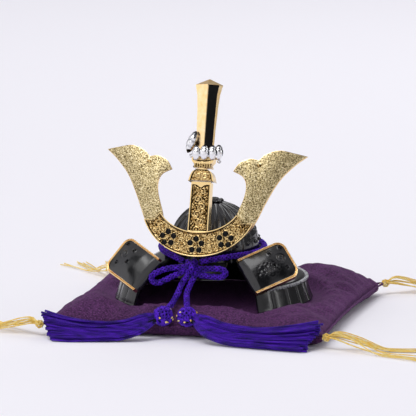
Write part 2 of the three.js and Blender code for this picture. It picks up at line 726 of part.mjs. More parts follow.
function swordCap() {
  const [low, wide] = [CAP_FOOT, CAP_HALF_WIDTH];
  const right = [[wide - 1, low + 0.4], [wide, low], [wide * 0.92, low + 3], [wide * 0.78, low + 5.4]];
  right.push([wide * 0.5, low + 6.6], [wide * 0.2, low + CAP_HEIGHT]);
  return onCrest(centredSlab(bothSides(right), HANDLE_DEPTH + 1.6, SWORD_MIDDLE));
}

function swordCollar(clear) {
  // Grown by clear, it cuts the claws free of itself.
  const wide = COLLAR_HALF_WIDTH + clear;
  const [low, high] = [COLLAR_FOOT - clear, COLLAR_FOOT + COLLAR_HEIGHT + clear];
  const right = [[wide * 0.8, low], [wide * 0.76, low + 1.6], [wide * 0.92, low + 2.6], [wide, low + 4.4], [wide, high]];
  return onCrest(centredSlab(bothSides(right), HANDLE_DEPTH + 0.8 + 2 * clear, SWORD_MIDDLE));
}

const BLADE_ROWS = [
  // up: share of the length below the point; flare and depth: shares of the flare and half depth
  { up: 0, flare: -0.1, depth: 0.86 },
  { up: 0.3, flare: 0.05, depth: 0.88 },
  { up: 0.6, flare: 0.24, depth: 0.92 },
  { up: 0.78, flare: 0.5, depth: 0.96 },
  { up: 0.905, flare: 1, depth: 1 },
  { up: 0.99, flare: -1.9, depth: 0.1 },
];

function swordBlade() {
  return onCrest(ringSolid(BLADE_ROWS.map(({ up, flare, depth }) => {
    const wide = BLADE_HALF_WIDTH + BLADE_FLARE * flare;
    const deep = BLADE_HALF_DEPTH * depth;
    const y = BLADE_FOOT + BLADE_LENGTH * up;
    return [[wide, 0], [0, deep], [-wide, 0], [0, -deep]].map(([x, z]) => point(x, y, SWORD_MIDDLE + z));
  })));
}

function clawRing() {
  // A band round the collar with four knuckles in front and to the right, and a thumb on the left.
  const [wide, deep] = [COLLAR_HALF_WIDTH + GAP + CLAW_RADIUS, HANDLE_DEPTH / 2 + 0.4 + GAP + CLAW_RADIUS];
  const height = COLLAR_FOOT + COLLAR_HEIGHT * 0.95;
  const band = new THREE.TorusGeometry(1, 0.13, 4, 9).rotateX(Math.PI / 2);
  const pieces = [bare(band.scale(wide, 6, deep).translate(0, height, SWORD_MIDDLE))];
  for (const [turn, lift] of [[-22, 0], [10, 0.2], [43, 0.4], [88, 0.9]]) {
    const knuckle = new THREE.SphereGeometry(1, 6, 4);
    knuckle.scale(CLAW_RADIUS, CLAW_LENGTH / 2, CLAW_RADIUS);
    const [s, c] = [Math.sin(radians(turn)), Math.cos(radians(turn))];
    pieces.push(bare(knuckle.translate(wide * s, height + lift, SWORD_MIDDLE + deep * c)));
  }
  const thumb = new THREE.SphereGeometry(1, 6, 4).scale(2.1, 6.2, 2);
  thumb.rotateZ(-radians(18)).translate(-wide, height + 5, SWORD_MIDDLE);
  pieces.push(bare(thumb));
  return cut(onCrest(fused(...pieces)), swordCollar(GAP));
}

function crestPost() {
  // Hidden behind the plate: from the bowl's front to the sword's foot.
  const height = CREST_Z;
  const share = domeShare(height);
  const from = HELMET_Y - BOWL_HALF_DEPTH * share - WAIST_BAND_RISE - 2 * GAP - 0.4;
  const handleBack = crestPlace(point(0, 0, HANDLE_FRONT - HANDLE_DEPTH)).y;
  const tilt = Math.tan(radians(CREST_LEAN)) * POST_RADIUS;
  const length = from - handleBack - tilt - 2 * GAP;
  const post = new THREE.CylinderGeometry(POST_RADIUS, POST_RADIUS, length, 12);
  return bare(post.translate(0, from - length / 2, height - 1.5));
}

add('sword_handle', 'gold', swordHandle());
add('sword_cap', 'gold', swordCap());
add('sword_collar', 'gold', swordCollar(0));
add('sword_blade', 'gold', swordBlade());
add('claw_ring', 'silver', clawRing());
add('crest_post', 'lacquer', crestPost());

// Cord: round the bowl's waist, tied in a bow in front, with two ends down to the tassels

const KNOT = point(-KNOT_SIDE, HELMET_Y - BOWL_HALF_DEPTH - KNOT_AHEAD, BOWL_RIM_HEIGHT + KNOT_RISE);

// Round the bowl; turn: degrees from straight ahead; out and rise: from the bowl's waist
const CORD_BAND = [
  [2.3, 11.4, -2.8], [11.1, 8.9, -2.1], [26, 6.3, -1.1], [39.3, 5, -0.1], [58, 4.2, 0.6], [78.4, 4, 1],
  [93.9, 3.7, 1], [113.7, 3.9, 1], [136.1, 4, 1], [158.3, 3.7, 1], [180, 3.6, 1], [201.7, 3.7, 1],
  [223.9, 4, 1], [246.3, 3.9, 1], [266.1, 3.7, 1], [281.5, 4.2, 1], [300.4, 5.6, 0.6], [317.7, 7.8, -0.1],
  [334.4, 9.5, -1.4], [347.5, 11.7, -3],
].map(([turn, out, rise]) => {
  const [s, c] = [Math.sin(radians(turn)), Math.cos(radians(turn))];
  return point((BOWL_HALF_WIDTH + out) * s, HELMET_Y - (BOWL_HALF_DEPTH + out) * c, WAIST_HEIGHT + rise);
});

// The bow's loops, from the knot's centre
const fromKnot = (line) => line.map((p) => KNOT.clone().add(point(...p)));
const BOW_LEFT = fromKnot([
  [-4.9, -1, -0.2], [-8, -1.4, -0.5], [-13.5, -1.6, -1.5], [-17.8, -1.8, -3.2], [-21, -2, -5.4],
  [-21, -2.2, -8], [-18.3, -2.4, -9], [-14.3, -2.4, -7.6], [-10.6, -2.2, -5.5], [-5.4, -1.6, -3],
]);
const BOW_RIGHT = fromKnot([
  [4.9, -1.8, -0.7], [8.4, -2, -0.5], [14, -2, -0.2], [17.4, -2, -0.8], [18.6, -2.2, -2.7],
  [16.4, -2.4, -4.4], [12.4, -2.6, -4.5], [8.4, -2.6, -4], [5.2, -2.4, -4],
]);

const ENDS = [
  // across: the tassel head's centre; inset and drop: from the cushion's edge and crown
  // line: across from the knot, then the shares of the way forward and down to the head
  {
    side: 'left', across: -11.9, inset: 5.4, drop: 8.1,
    line: [[-1.9, 0.087, 0.214], [-4.4, 0.159, 0.395], [-5.4, 0.326, 0.586], [-6.6, 0.58, 0.772], [-7.6, 0.783, 0.86]],
  },
  {
    side: 'right', across: 1, inset: 5.8, drop: 7.9,
    line: [[1.8, 0.088, 0.216], [0, 0.162, 0.423], [-0.6, 0.331, 0.61], [1, 0.588, 0.751], [2.6, 0.787, 0.826]],
  },
];

function cord(points, steps) {
  const half = CORD_DIAMETER / 2;
  return tube(points, half, half, CORD_SIDES, steps);
}

function ball(middle, radius, flat, sides) {
  const sphere = new THREE.SphereGeometry(radius, sides, Math.round(sides * 0.6));
  return bare(sphere.scale(1, flat, 1).translate(...middle.toArray()));
}

add('cord_band', 'cord', cut(cord(CORD_BAND, 24), ball(KNOT, KNOT_RADIUS + GAP, 1, 12)));
add('cord_bow_left', 'cord', cut(cord(BOW_LEFT, 16), ball(KNOT, KNOT_RADIUS + GAP, 1, 12)));
add('cord_bow_right', 'cord', cut(cord(BOW_RIGHT, 14), ball(KNOT, KNOT_RADIUS + GAP, 1, 12)));
for (const { side, across, inset, drop, line } of ENDS) {
  const head = point(across, inset - HALF_SIDE, CUSHION_CROWN - drop);
  const clear = [ball(KNOT, KNOT_RADIUS + GAP, 1, 12), ball(head, TASSEL_HEAD_RADIUS + GAP, 1, 12)];
  const points = line.map(([x, forward, down]) => (
    point(KNOT.x + x, lerp(KNOT.y, head.y, forward), lerp(KNOT.z, head.z, down))
  ));
  add(`cord_end_${side}`, 'cord', cut(cord(points, 6), ...clear));
}
add('cord_knot', 'cord', ball(KNOT, KNOT_RADIUS, 1, 12));

// Tassels: a netted ball and a skirt that falls over the cushion's edge and runs aside on the table

const SKIRT_ROWS = [
  // run: share of the skirt's run aside; forward: from the head's centre; high: of the upper strands
  { run: 0.02, forward: 0, high: 0, low: 0 },
  { run: 0.14, forward: 5.5, high: 0.6, low: -5.6 },
  { run: 0.32, forward: 7.5, high: -2.2, low: -9.2 },
  { run: 0.58, forward: 9, high: -3.6, low: -9.4 },
  { run: 0.82, forward: 9.5, high: -3.8, low: -9.4 },
  { run: 1, forward: 9.5, high: -3.6, low: -9.4 },
];

function skirtPoint(head, side, run, row, fall) {
  // fall: 0 for the upper strands, 1 for those on the table.
  const spread = SKIRT_SPREAD * fall * Math.min(1, 1.15 * Math.sqrt(row.run)) * (row.run > 0.1 ? 1 : 0.2);
  const x = head.x + side * run * row.run * (1 - 0.1 * fall * row.run);
  const low = SKIRT_LOW;
  const z = Math.max(low, head.z + lerp(row.high, row.low, Math.min(1, fall * 1.25)));
  return point(x, head.y - row.forward - spread * 0.86, z);
}

function tassel(head, side, run) {
  const pieces = [ball(head, TASSEL_HEAD_RADIUS, 1, 8)];
  const lockWidth = (SKIRT_SPREAD / SKIRT_LOCKS) * 0.8;
  for (let i = 0; i < SKIRT_LOCKS; i++) {
    const fall = i / (SKIRT_LOCKS - 1);
    const line = SKIRT_ROWS.map((row) => skirtPoint(head, side, run, row, fall));
    pieces.push(tube(line, lockWidth, LOCK_HALF_THICKNESS, 5, 5));
  }
  return fused(...pieces);
}

for (const { side, across, inset, drop } of ENDS) {
  const head = point(across, inset - HALF_SIDE, CUSHION_CROWN - drop);
  const [way, run] = side === 'left' ? [-1, SKIRT_LEFT_RUN] : [1, SKIRT_RIGHT_RUN];
  add(`tassel_${side}`, 'cord', tassel(head, way, run));
}

// Corner tassels: a knot of gold thread at each corner and a few long threads on the table

const CORNERS = [
  // name, x and y: which corner; turn: degrees of the threads from +X
  { name: 'front_left', x: -1, y: -1, turn: 155 },
  { name: 'front_right', x: 1, y: -1, turn: -8 },
  { name: 'back_right', x: 1, y: 1, turn: 32 },
  { name: 'back_left', x: -1, y: 1, turn: 115 },
];

function cornerTassel({ x, y, turn }) {
  const away = point(x, y, 0).normalize();
  const seat = HALF_SIDE * Math.SQRT2 + GAP + THREAD_KNOT_RADIUS;
  const knot = away.clone().multiplyScalar(seat).setZ(SEAM_HEIGHT);
  const pieces = [ball(knot, THREAD_KNOT_RADIUS, 1.1, 6)];
  for (const spread of [-16, 0, 16]) {
    const way = point(1, 0, 0).applyAxisAngle(point(0, 0, 1), radians(turn + spread));
    const low = THREAD_RADIUS + 0.2;
    const at = (share, z) => knot.clone().addScaledVector(way, share * THREAD_LENGTH).setZ(z);
    const line = [knot, at(0.1, SEAM_HEIGHT * 0.9), at(0.3, SEAM_HEIGHT * 0.4), at(0.55, low), at(1, low)];
    pieces.push(tube(line, THREAD_RADIUS, THREAD_RADIUS, 4, 4));
  }
  return fused(...pieces);
}

for (const corner of CORNERS) {
  add(`corner_tassel_${corner.name}`, 'thread', cornerTassel(corner));
}

export default helmet;
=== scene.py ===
# %% [markdown]
# # A small samurai helmet on its cushion
# The ornament is a cast and lacquered helmet with a gilt crest, tied with a braided cord and set on
# a crepe cushion. Its solids come in as a fixed frame, and this lesson dresses them: each piece is
# drawn in millimetres where the real one sits, and turned to metres when it is finished.

# %% The frame
import math
import random

import bmesh
import bpy
from mathutils import Matrix, Vector, geometry, noise


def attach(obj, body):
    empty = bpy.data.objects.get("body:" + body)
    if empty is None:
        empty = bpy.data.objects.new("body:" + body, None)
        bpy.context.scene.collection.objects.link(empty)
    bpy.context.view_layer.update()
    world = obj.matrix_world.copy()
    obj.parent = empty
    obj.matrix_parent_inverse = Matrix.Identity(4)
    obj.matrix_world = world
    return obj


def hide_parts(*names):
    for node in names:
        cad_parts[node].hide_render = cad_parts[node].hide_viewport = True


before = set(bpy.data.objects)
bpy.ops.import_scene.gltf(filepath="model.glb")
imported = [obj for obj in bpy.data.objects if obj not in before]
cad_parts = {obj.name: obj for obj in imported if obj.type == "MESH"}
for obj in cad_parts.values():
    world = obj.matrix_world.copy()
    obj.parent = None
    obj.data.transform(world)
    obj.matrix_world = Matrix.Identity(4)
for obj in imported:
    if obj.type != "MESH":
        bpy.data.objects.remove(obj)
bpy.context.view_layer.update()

MM = 0.001

# %% [markdown]
# ## The camera
# A photograph taken from far off with a long lens flattens the object. So the camera stands almost
# three metres away, turned a little to the helmet's left and raised ten degrees, and the lens is
# long enough for the ornament to fill the frame. It comes first, because every cord is checked
# against what it sees.

# %% Camera
VIEW_TURN = math.radians(13.4)
VIEW_RISE = math.radians(10)
VIEW_DISTANCE = 2.75
aim = Vector((0.4, -20, 61)) * MM
away = Vector((math.sin(VIEW_TURN) * math.cos(VIEW_RISE), -math.cos(VIEW_TURN) * math.cos(VIEW_RISE),
               math.sin(VIEW_RISE)))
camera = bpy.data.objects.new("camera", bpy.data.cameras.new("camera"))
camera.data.sensor_width = 36
camera.data.lens = 451
camera.location = aim + away * VIEW_DISTANCE
camera.rotation_euler = (-away).to_track_quat("-Z", "Y").to_euler()
bpy.context.scene.collection.objects.link(camera)
bpy.context.scene.camera = camera
print("camera:", [round(c, 3) for c in camera.location])

# %% [markdown]
# ## How a finish is made
# A finish is one material, built from nodes. The first function turns a hex colour, as a screen shows
# it, to the linear numbers that light works with. The second adds one node and links it, and the next
# ones are the few kinds that every finish here uses. A pattern's scale is the number of its features
# in a metre, so a real size in millimetres is turned to that.

# %% Finish helpers
def linear(hex_colour):
    parts = [int(hex_colour[i:i + 2], 16) / 255 for i in (1, 3, 5)]
    return [p / 12.92 if p <= 0.04045 else ((p + 0.055) / 1.055) ** 2.4 for p in parts] + [1.0]


def add(finish, kind, feeds=(), stops=(), **settings):
    """Adds a node; feeds gives each input a value or another node's output, and stops colour a ramp."""
    made = finish.node_tree.nodes.new(kind)
    for name, value in settings.items():
        setattr(made, name, value)
    for name, value in dict(feeds).items():
        if isinstance(value, bpy.types.NodeSocket):
            finish.node_tree.links.new(value, made.inputs[name])
        else:
            made.inputs[name].default_value = value
    for i, (place, colour) in enumerate(stops):
        step = made.color_ramp.elements[i] if i < 2 else made.color_ramp.elements.new(place)
        step.position, step.color = place, linear(colour)
    return made


def object_place(finish):
    return add(finish, "ShaderNodeTexCoord").outputs["Object"]


def tone_mark(finish):
    """The tone that a mesh keeps on each of its points, mostly painted shade in hollows and creases."""
    return add(finish, "ShaderNodeAttribute", attribute_name="tone").outputs["Fac"]


def mottle(finish, place, size_mm, detail=2.0, roughness=0.5, output=0):
    """Soft noise with features of the given size; its output 1 is a colour."""
    return add(finish, "ShaderNodeTexNoise", {"Vector": place, "Scale": 1000 / size_mm, "Detail": detail,
                                              "Roughness": roughness}).outputs[output]


def cells(finish, place, size_mm):
    """The distance to the middle of the nearest rounded cell."""
    return add(finish, "ShaderNodeTexVoronoi", {"Vector": place, "Scale": 1000 / size_mm},
               feature="SMOOTH_F1").outputs["Distance"]


def ranged(finish, value, low, high, start=0.0, end=1.0):
    """What runs from start to end, made to run from low to high."""
    return add(finish, "ShaderNodeMapRange", {0: value, 1: start, 2: end, 3: low, 4: high}).outputs[0]


def coloured(finish, value, *stops):
    return add(finish, "ShaderNodeValToRGB", {0: value}, stops=stops).outputs[0]


def share_on(finish, value, share, base):
    """A share of one value on top of another."""
    return add(finish, "ShaderNodeMath", {0: value, 1: share, 2: base}, operation="MULTIPLY_ADD").outputs[0]


def lifted(finish, height, strength, depth_mm):
    return add(finish, "ShaderNodeBump", {"Height": height, "Strength": strength,
                                          "Distance": depth_mm * MM}).outputs[0]


def new_finish(name, colour, roughness, metallic=0.0, **sockets):
    """A material with its plain numbers set on the shader itself."""
    finish = bpy.data.materials.new(name)
    finish.use_nodes = True
    shader = finish.node_tree.nodes["Principled BSDF"]
    shader.inputs["Base Color"].default_value = linear(colour)
    shader.inputs["Roughness"].default_value = roughness
    shader.inputs["Metallic"].default_value = metallic
    for socket, value in sockets.items():
        shader.inputs[socket.replace("_", " ")].default_value = value
    return finish


def feed(finish, **outputs):
    """Links each output to the shader's socket of that name."""
    shader = finish.node_tree.nodes["Principled BSDF"]
    for socket, output in outputs.items():
        finish.node_tree.links.new(output, shader.inputs[socket.replace("_", " ")])


# %% [markdown]
# ## Yarn finishes
# The cord and its tassels are rayon: long bright filaments twisted to a yarn about a millimetre thick.
# The twist is drawn along each strand's own map, where the first number runs round the strand and the
# second along it in millimetres. That gives fine slanting lines, a soft sheen, and painted shade that
# darkens the twist's hollows. The tassels' skirts have a finish of their own, whose patches of shade
# run across the strands. The corner threads are a pale gold yarn that shines more, and the core is a
# near-black one that only fills: painted shade between the yarns.

# %% Yarn
def yarn(name, dark, mid, light, roughness, metallic, pitch_mm, patch_mm=2.2, drawn_out=1.0):
    finish = new_finish(name, mid, roughness, metallic, Sheen_Weight=0.05, Sheen_Roughness=0.4,
                        Sheen_Tint=linear(light), Specular_IOR_Level=0.25)
    along = add(finish, "ShaderNodeUVMap", uv_map="UVMap").outputs[0]
    twist = add(finish, "ShaderNodeVectorMath", {0: along, 1: (4 * math.pi, 2 * math.pi / pitch_mm, 0)},
                operation="DOT_PRODUCT").outputs["Value"]
    wave = add(finish, "ShaderNodeMath", {0: twist}, operation="SINE").outputs[0]
    drawn = add(finish, "ShaderNodeMapping", {0: object_place(finish), 3: (drawn_out, 1.0, 1.0)}).outputs[0]
    patches = mottle(finish, drawn, patch_mm, 3.0)
    shade = share_on(finish, wave, 0.16, patches)
    # The colour follows the twist's wave and is darker in its hollows: painted shade between the plies.
    feed(finish, Base_Color=coloured(finish, shade, (0.28, dark), (0.72, light), (0.5, mid)),
         Roughness=ranged(finish, patches, roughness - 0.08, roughness + 0.12),
         Normal=lifted(finish, wave, 0.6, 0.12))
    return finish


cord_yarn = yarn("violet_rayon_yarn", "#12044e", "#4d15c0", "#6e2eec", 0.5, 0.0, 1.4)
core_painted_shade_yarn = yarn("near_black_core_painted_shade", "#05010f", "#0b0424", "#14083a", 0.8, 0.0, 1.4)
skirt_yarn = yarn("violet_rayon_strands", "#0c0338", "#3a0c9a", "#571cc2", 0.5, 0.0, 1.4, 1.5, 0.15)
gold_yarn = yarn("gilt_foil_thread", "#ffcc50", "#ffe07a", "#fff3b8", 0.38, 0.0, 0.9)
lace_yarn = yarn("silver_white_lacing", "#6f7276", "#c9ccd0", "#f2f3f5", 0.35, 0.6, 0.7)
print("yarns:", *(made.name for made in (cord_yarn, core_painted_shade_yarn, skirt_yarn, gold_yarn, lace_yarn)))

# %% [markdown]
# ## Lines and strands
# A cord follows a smooth line through a few given points. Each stretch is a Bezier curve whose handles
# point along the neighbours, and then points are taken at even steps, so that a pattern on it keeps
# its size. A strand is a curve with a round bevel, which is Blender's own way to a tube, made a mesh.

# %% Line and strand helpers
def smooth_line(points, step=0.5):
    knots = [Vector(p) for p in points]
    ends = [2 * knots[0] - knots[1]] + knots + [2 * knots[-1] - knots[-2]]
    dense = []
    for a, b, c, d in zip(ends, ends[1:], ends[2:], ends[3:]):
        reach = (c - b).length / 3
        dense += geometry.interpolate_bezier(b, b + (c - a).normalized() * reach,
                                             c - (d - b).normalized() * reach, c, 24)[:-1]
    dense.append(knots[-1])
    line, left = [dense[0]], step
    for a, b in zip(dense, dense[1:]):
        while (b - a).length > left:
            a = a + (b - a).normalized() * left
            line.append(a)
            left = step
        left -= (b - a).length
    if (line[-1] - dense[-1]).length > 0.3 * step:
        line.append(dense[-1])
    return line


def line_length(line):
    return sum((b - a).length for a, b in zip(line, line[1:]))


def frames_along(line):
    """At each point, two directions across the line, carried along it without a twist."""
    across = (line[1] - line[0]).orthogonal().normalized()
    frames = []
    for i in range(len(line)):
        ahead = (line[min(i + 1, len(line) - 1)] - line[max(i - 1, 0)]).normalized()
        across = (across - ahead * across.dot(ahead)).normalized()
        frames.append((across, ahead.cross(across)))
    return frames


def strand_mesh(name, lines, radius, roundness=1):
    """Round strands through lists of points, in millimetres, as one mesh in metres."""
    curve = bpy.data.curves.new(name, "CURVE")
    curve.dimensions = "3D"
    curve.bevel_depth = radius * MM
    curve.bevel_resolution = roundness
    curve.use_fill_caps = True
    for line in lines:
        spline = curve.splines.new("POLY")
        spline.points.add(len(line) - 1)
        spline.points.foreach_set("co", [c for p in line for c in (p[0] * MM, p[1] * MM, p[2] * MM, 1)])
    drawn = bpy.data.objects.new(name, curve)
    bpy.context.scene.collection.objects.link(drawn)
    mesh = bpy.data.meshes.new_from_object(drawn.evaluated_get(bpy.context.evaluated_depsgraph_get()))
    bpy.data.objects.remove(drawn)
    length = sum(line_length([Vector(p) for p in line]) for line in lines) / len(lines)
    map_along = mesh.uv_layers[0].data
    numbers = [0.0] * (2 * len(map_along))
    map_along.foreach_get("uv", numbers)
    numbers[1::2] = [v * length for v in numbers[1::2]]
    map_along.foreach_set("uv", numbers)
    return mesh


def joined(meshes):
    """One mesh from several, each of which keeps its own place in the list of finishes."""
    shape = bmesh.new()
    for place, mesh in enumerate(meshes):
        before = len(shape.faces)
        shape.from_mesh(mesh)
        shape.faces.ensure_lookup_table()
        for face in shape.faces[before:]:
            face.material_index = place
    mesh = bpy.data.meshes.new("joined")
    shape.to_mesh(mesh)
    shape.free()
    return mesh


def set_out(name, mesh, finishes, stands_for=(), crease=40):
    """Makes a finished mesh a piece of the ornament, which rides on its one body."""
    mesh.name = name
    piece = bpy.data.objects.new(name, mesh)
    bpy.context.scene.collection.objects.link(piece)
    for finish in finishes:
        mesh.materials.append(finish)
    mesh.shade_smooth()
    mesh.set_sharp_from_angle(angle=math.radians(crease))
    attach(piece, "root")
    if stands_for:
        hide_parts(*stands_for)
    print(f"{name}: {len(mesh.polygons)} faces")
    return piece


# %% [markdown]
# ## The braided cord
# The real cord is a round braid of eight yarns: four wind one way, four the other, and each goes over
# and under those that it meets. Two angles run along the line in opposite directions, and the strands
# that meet swap between the outer and inner radius. A near-black core fills the middle: painted shade
# seen between the yarns.

# %% Braid
CORD_DIAMETER = 3.2
YARN_RADIUS = 0.44
BRAID_PITCH = 9.5
BRAID_SWING = 0.26  # how far a yarn goes out and in where it meets the others
YARNS_EACH_WAY = 4


def braid_lines(line):
    frames = frames_along(line)
    middle = CORD_DIAMETER / 2 - YARN_RADIUS - 0.12
    strands = []
    for way in (1, -1):
        for start in range(YARNS_EACH_WAY):
            gone, strand = 0.0, []
            for i, (p, (a, b)) in enumerate(zip(line, frames)):
                gone += (p - line[i - 1]).length if i else 0
                turn = 2 * math.pi * gone / BRAID_PITCH
                angle = way * turn + 2 * math.pi * start / YARNS_EACH_WAY
                out = middle + way * BRAID_SWING * math.cos(YARNS_EACH_WAY * turn)
                strand.append(p + (a * math.cos(angle) + b * math.sin(angle)) * out)
            strands.append(strand)
    return strands


def braided(name, line):
    # The core strand's near-black finish is painted shade, seen between the braid's yarns.
    return joined([strand_mesh(name, braid_lines(line), YARN_RADIUS),
                   strand_mesh(name, [line], CORD_DIAMETER / 2 - 2 * YARN_RADIUS + 0.52)])


# The helmet's sizes that the cord's points are measured from, as in the solids
BOWL_HALF_WIDTH, BOWL_HALF_DEPTH, HELMET_Y = 23.4, 26, -4
BOWL_RIM, WAIST = 33, 38.8
HALF_SIDE, CROWN = 75, 20
KNOT = Vector((-3, HELMET_Y - BOWL_HALF_DEPTH - 12, BOWL_RIM + 0.4))


def round_bowl(turn, out, rise):
    s, c = math.sin(math.radians(turn)), math.cos(math.radians(turn))
    return Vector(((BOWL_HALF_WIDTH + out) * s, HELMET_Y - (BOWL_HALF_DEPTH + out) * c, WAIST + rise))


band_points = [round_bowl(*row) for row in (
    (2.3, 11.4, -2.8), (11.1, 8.9, -2.1), (26, 6.3, -1.4), (39.3, 4.8, -1.2), (58, 3.6, -1.4),
    (78.4, 3.4, -1.3), (93.9, 3.1, -1.3), (113.7, 3.2, -1.1), (136.1, 3.6, -0.8), (158.3, 3.6, -0.7),
    (180, 3.6, -0.7), (201.7, 3.6, -0.7), (223.9, 3.6, -0.8), (246.3, 3.5, -0.9), (266.1, 3.5, -0.8),
    (281.5, 4.2, -0.2), (300.4, 5.6, 0.2), (317.7, 7.8, -0.3), (334.4, 9.5, -1.4), (347.5, 11.7, -3))]
left_loop = [KNOT + Vector(p) for p in (
    (-2.4, -0.6, 0.2), (-4.9, -1, -0.2), (-8, -1.4, -0.5), (-13.5, -1.6, -1.5), (-17.8, -1.8, -3.2),
    (-21, -2, -5.4), (-21, -2.2, -8), (-18.3, -2.4, -9), (-14.3, -2.4, -7.6), (-10.6, -2.2, -5.5),
    (-5.4, -1.6, -3), (-2.6, -1.0, -1.4))]
right_loop = [KNOT + Vector(p) for p in (
    (2.4, -1.0, 0.0), (4.9, -1.8, -0.7), (8.4, -2, -0.5), (14, -2, -0.2), (17.4, -2, -0.8),
    (18.6, -2.2, -2.7), (16.4, -2.4, -4.4), (12.4, -2.6, -4.5), (8.4, -2.6, -4), (5.2, -2.4, -4),
    (2.4, -1.4, -2.4))]

for name, points, node in (("cord_round_bowl", band_points, "cord_band"),
                           ("bow_loop_left", left_loop, "cord_bow_left"),
                           ("bow_loop_right", right_loop, "cord_bow_right")):
    line = smooth_line(points)
    set_out(name, braided(name, line), [cord_yarn, core_painted_shade_yarn], [node])
    print("  length", round(line_length(line), 1), "mm")

# %% [markdown]
# The knot is the same cord passed round the crossing of the two loops: one upright turn over the
# front and a slanting one behind it. Both are drawn as lines round the knot's middle and braided too.

# %% Knot
upright = [KNOT + Vector((0.5 + 0.9 * math.sin(turn * 0.5), -2.9 * math.cos(turn) - 0.2,
                          2.75 * math.sin(turn)))
           for turn in [math.radians(a) for a in range(-150, 205, 15)]]
slanting = [KNOT + Vector((-1.9 + 0.5 * math.cos(turn), -2.2 * math.cos(turn), 2.5 * math.sin(turn)))
            for turn in [math.radians(a) for a in range(-150, 170, 20)]]
knot_shape = bmesh.new()
for turn_line in (upright, slanting):
    knot_shape.from_mesh(braided("knot", smooth_line(turn_line, 0.4)))
knot_mesh = bpy.data.meshes.new("knot")
knot_shape.to_mesh(knot_mesh)
knot_shape.free()
set_out("bow_knot", knot_mesh, [cord_yarn, core_painted_shade_yarn], ["cord_knot"])

# %% [markdown]
# ## The two hanging ends and their tassels
# Each end leaves the knot, drops over the face opening, lies on the cushion's front edge and goes
# through a netted ball into its tassel. The cord runs on inside the skirt, where the strands are tied
# to it, so it is one piece from the knot to there. It is limp and hangs by its own weight.

# %% Skirt lines
LEFT_END = {
    "side": "left", "way": -1, "run": 62, "head": Vector((-11.9, 5.4 - HALF_SIDE, CROWN - 8.1)),
    "line": ((-1.9, 0.087, 0.214), (-4.4, 0.159, 0.395), (-5.4, 0.326, 0.586), (-6.6, 0.58, 0.772),
             (-7.6, 0.783, 0.86)),
}
RIGHT_END = {
    "side": "right", "way": 1, "run": 73, "head": Vector((1, 5.8 - HALF_SIDE, CROWN - 7.9)),
    "line": ((1.8, 0.088, 0.216), (0, 0.162, 0.423), (-0.6, 0.331, 0.61), (1, 0.588, 0.751),
             (2.6, 0.787, 0.826)),
}
# How a skirt runs: share of its run aside, forward of the head, and height of its upper and lower strands
SKIRT_ROWS = ((0.02, 0, 0, 0), (0.14, 5.5, 0.6, -5.6), (0.32, 7, -3.2, -9.2), (0.58, 8, -4.4, -9.6),
              (0.82, 8.2, -2.6, -9.8), (1, 8.2, 0.2, -9.8))
SKIRT_SPREAD, STRAND_RADIUS = 12, 0.6


def skirt_point(end, row, fall):
    run, forward, high, low = row
    spread = SKIRT_SPREAD * fall * min(1, 1.15 * math.sqrt(run)) * (1 if run > 0.1 else 0.2)
    head = end["head"]
    z = max(1.9, head.z + high + (low - high) * min(1, fall * 1.25))
    return Vector((head.x + end["way"] * end["run"] * run * (1 - 0.1 * fall * run),
                   head.y - forward - 0.86 * spread, z))


def tassel_skirt(name, end, count, seed):
    """Twisted strands side by side in a few layers, each with its own small wander."""
    chance = random.Random(seed)
    strands = []
    for i in range(count):
        fall = min(1, max(0, (i + chance.uniform(-0.8, 0.8)) / (count - 1)))
        layer = chance.uniform(-1.5, 1.45)
        drift = Vector((0, chance.gauss(0, 0.7), chance.gauss(0, 0.25)))
        wave, reach = chance.uniform(0, 6.28), chance.uniform(0.965, 1.02)
        points = []
        for share, *rest in SKIRT_ROWS:
            p = skirt_point(end, (share * reach, *rest), fall)
            p.z += layer * min(1, 0.35 + share * 3)
            p += drift * share * 2
            p += Vector((0, 0.45 * math.sin(wave + 7 * share), 0.2 * math.sin(wave + 9 * share)))
            p.z = max(0.55, p.z)
            points.append(p)
        strands.append(smooth_line(points, 2.2))
    return strand_mesh(name, strands, STRAND_RADIUS)


# %% Netted balls
HEAD_RADIUS = 5.3
NET_YARN_RADIUS = 0.5
NET_TURN, NET_START, NET_SPAN = math.radians(150), 14, 152  # round the ball, and from pole to pole
GOLD_SPECKS = 14
CORE_RADIUS = 1.25


def netted_ball(middle, radius, axis, crossings, yarn_radius):
    """Strands that wind both ways from pole to pole of a ball, over and under each other."""
    turn_to_axis = Vector((0, 0, 1)).rotation_difference(axis).to_matrix()
    strands = []
    for way in (1, -1):
        for start in range(crossings):
            strand = []
            for i in range(25):
                share = i / 24
                polar = math.radians(NET_START + NET_SPAN * share)
                around = 2 * math.pi * start / crossings + way * NET_TURN * share
                out = radius - yarn_radius + way * 0.22 * math.cos(crossings * NET_TURN * share)
                strand.append(middle + turn_to_axis @ Vector((
                    out * math.sin(polar) * math.cos(around), out * math.sin(polar) * math.sin(around),
                    out * math.cos(polar))))
            strands.append(strand)
    return strands


def ball_mesh(middle, radius):
    shape = bmesh.new()
    bmesh.ops.create_uvsphere(shape, u_segments=32, v_segments=20, radius=radius * MM)
    bmesh.ops.translate(shape, vec=middle * MM, verts=shape.verts)
    mesh = bpy.data.meshes.new("ball")
    shape.to_mesh(mesh)
    shape.free()
    mesh.uv_layers.new(name="UVMap")
    return mesh


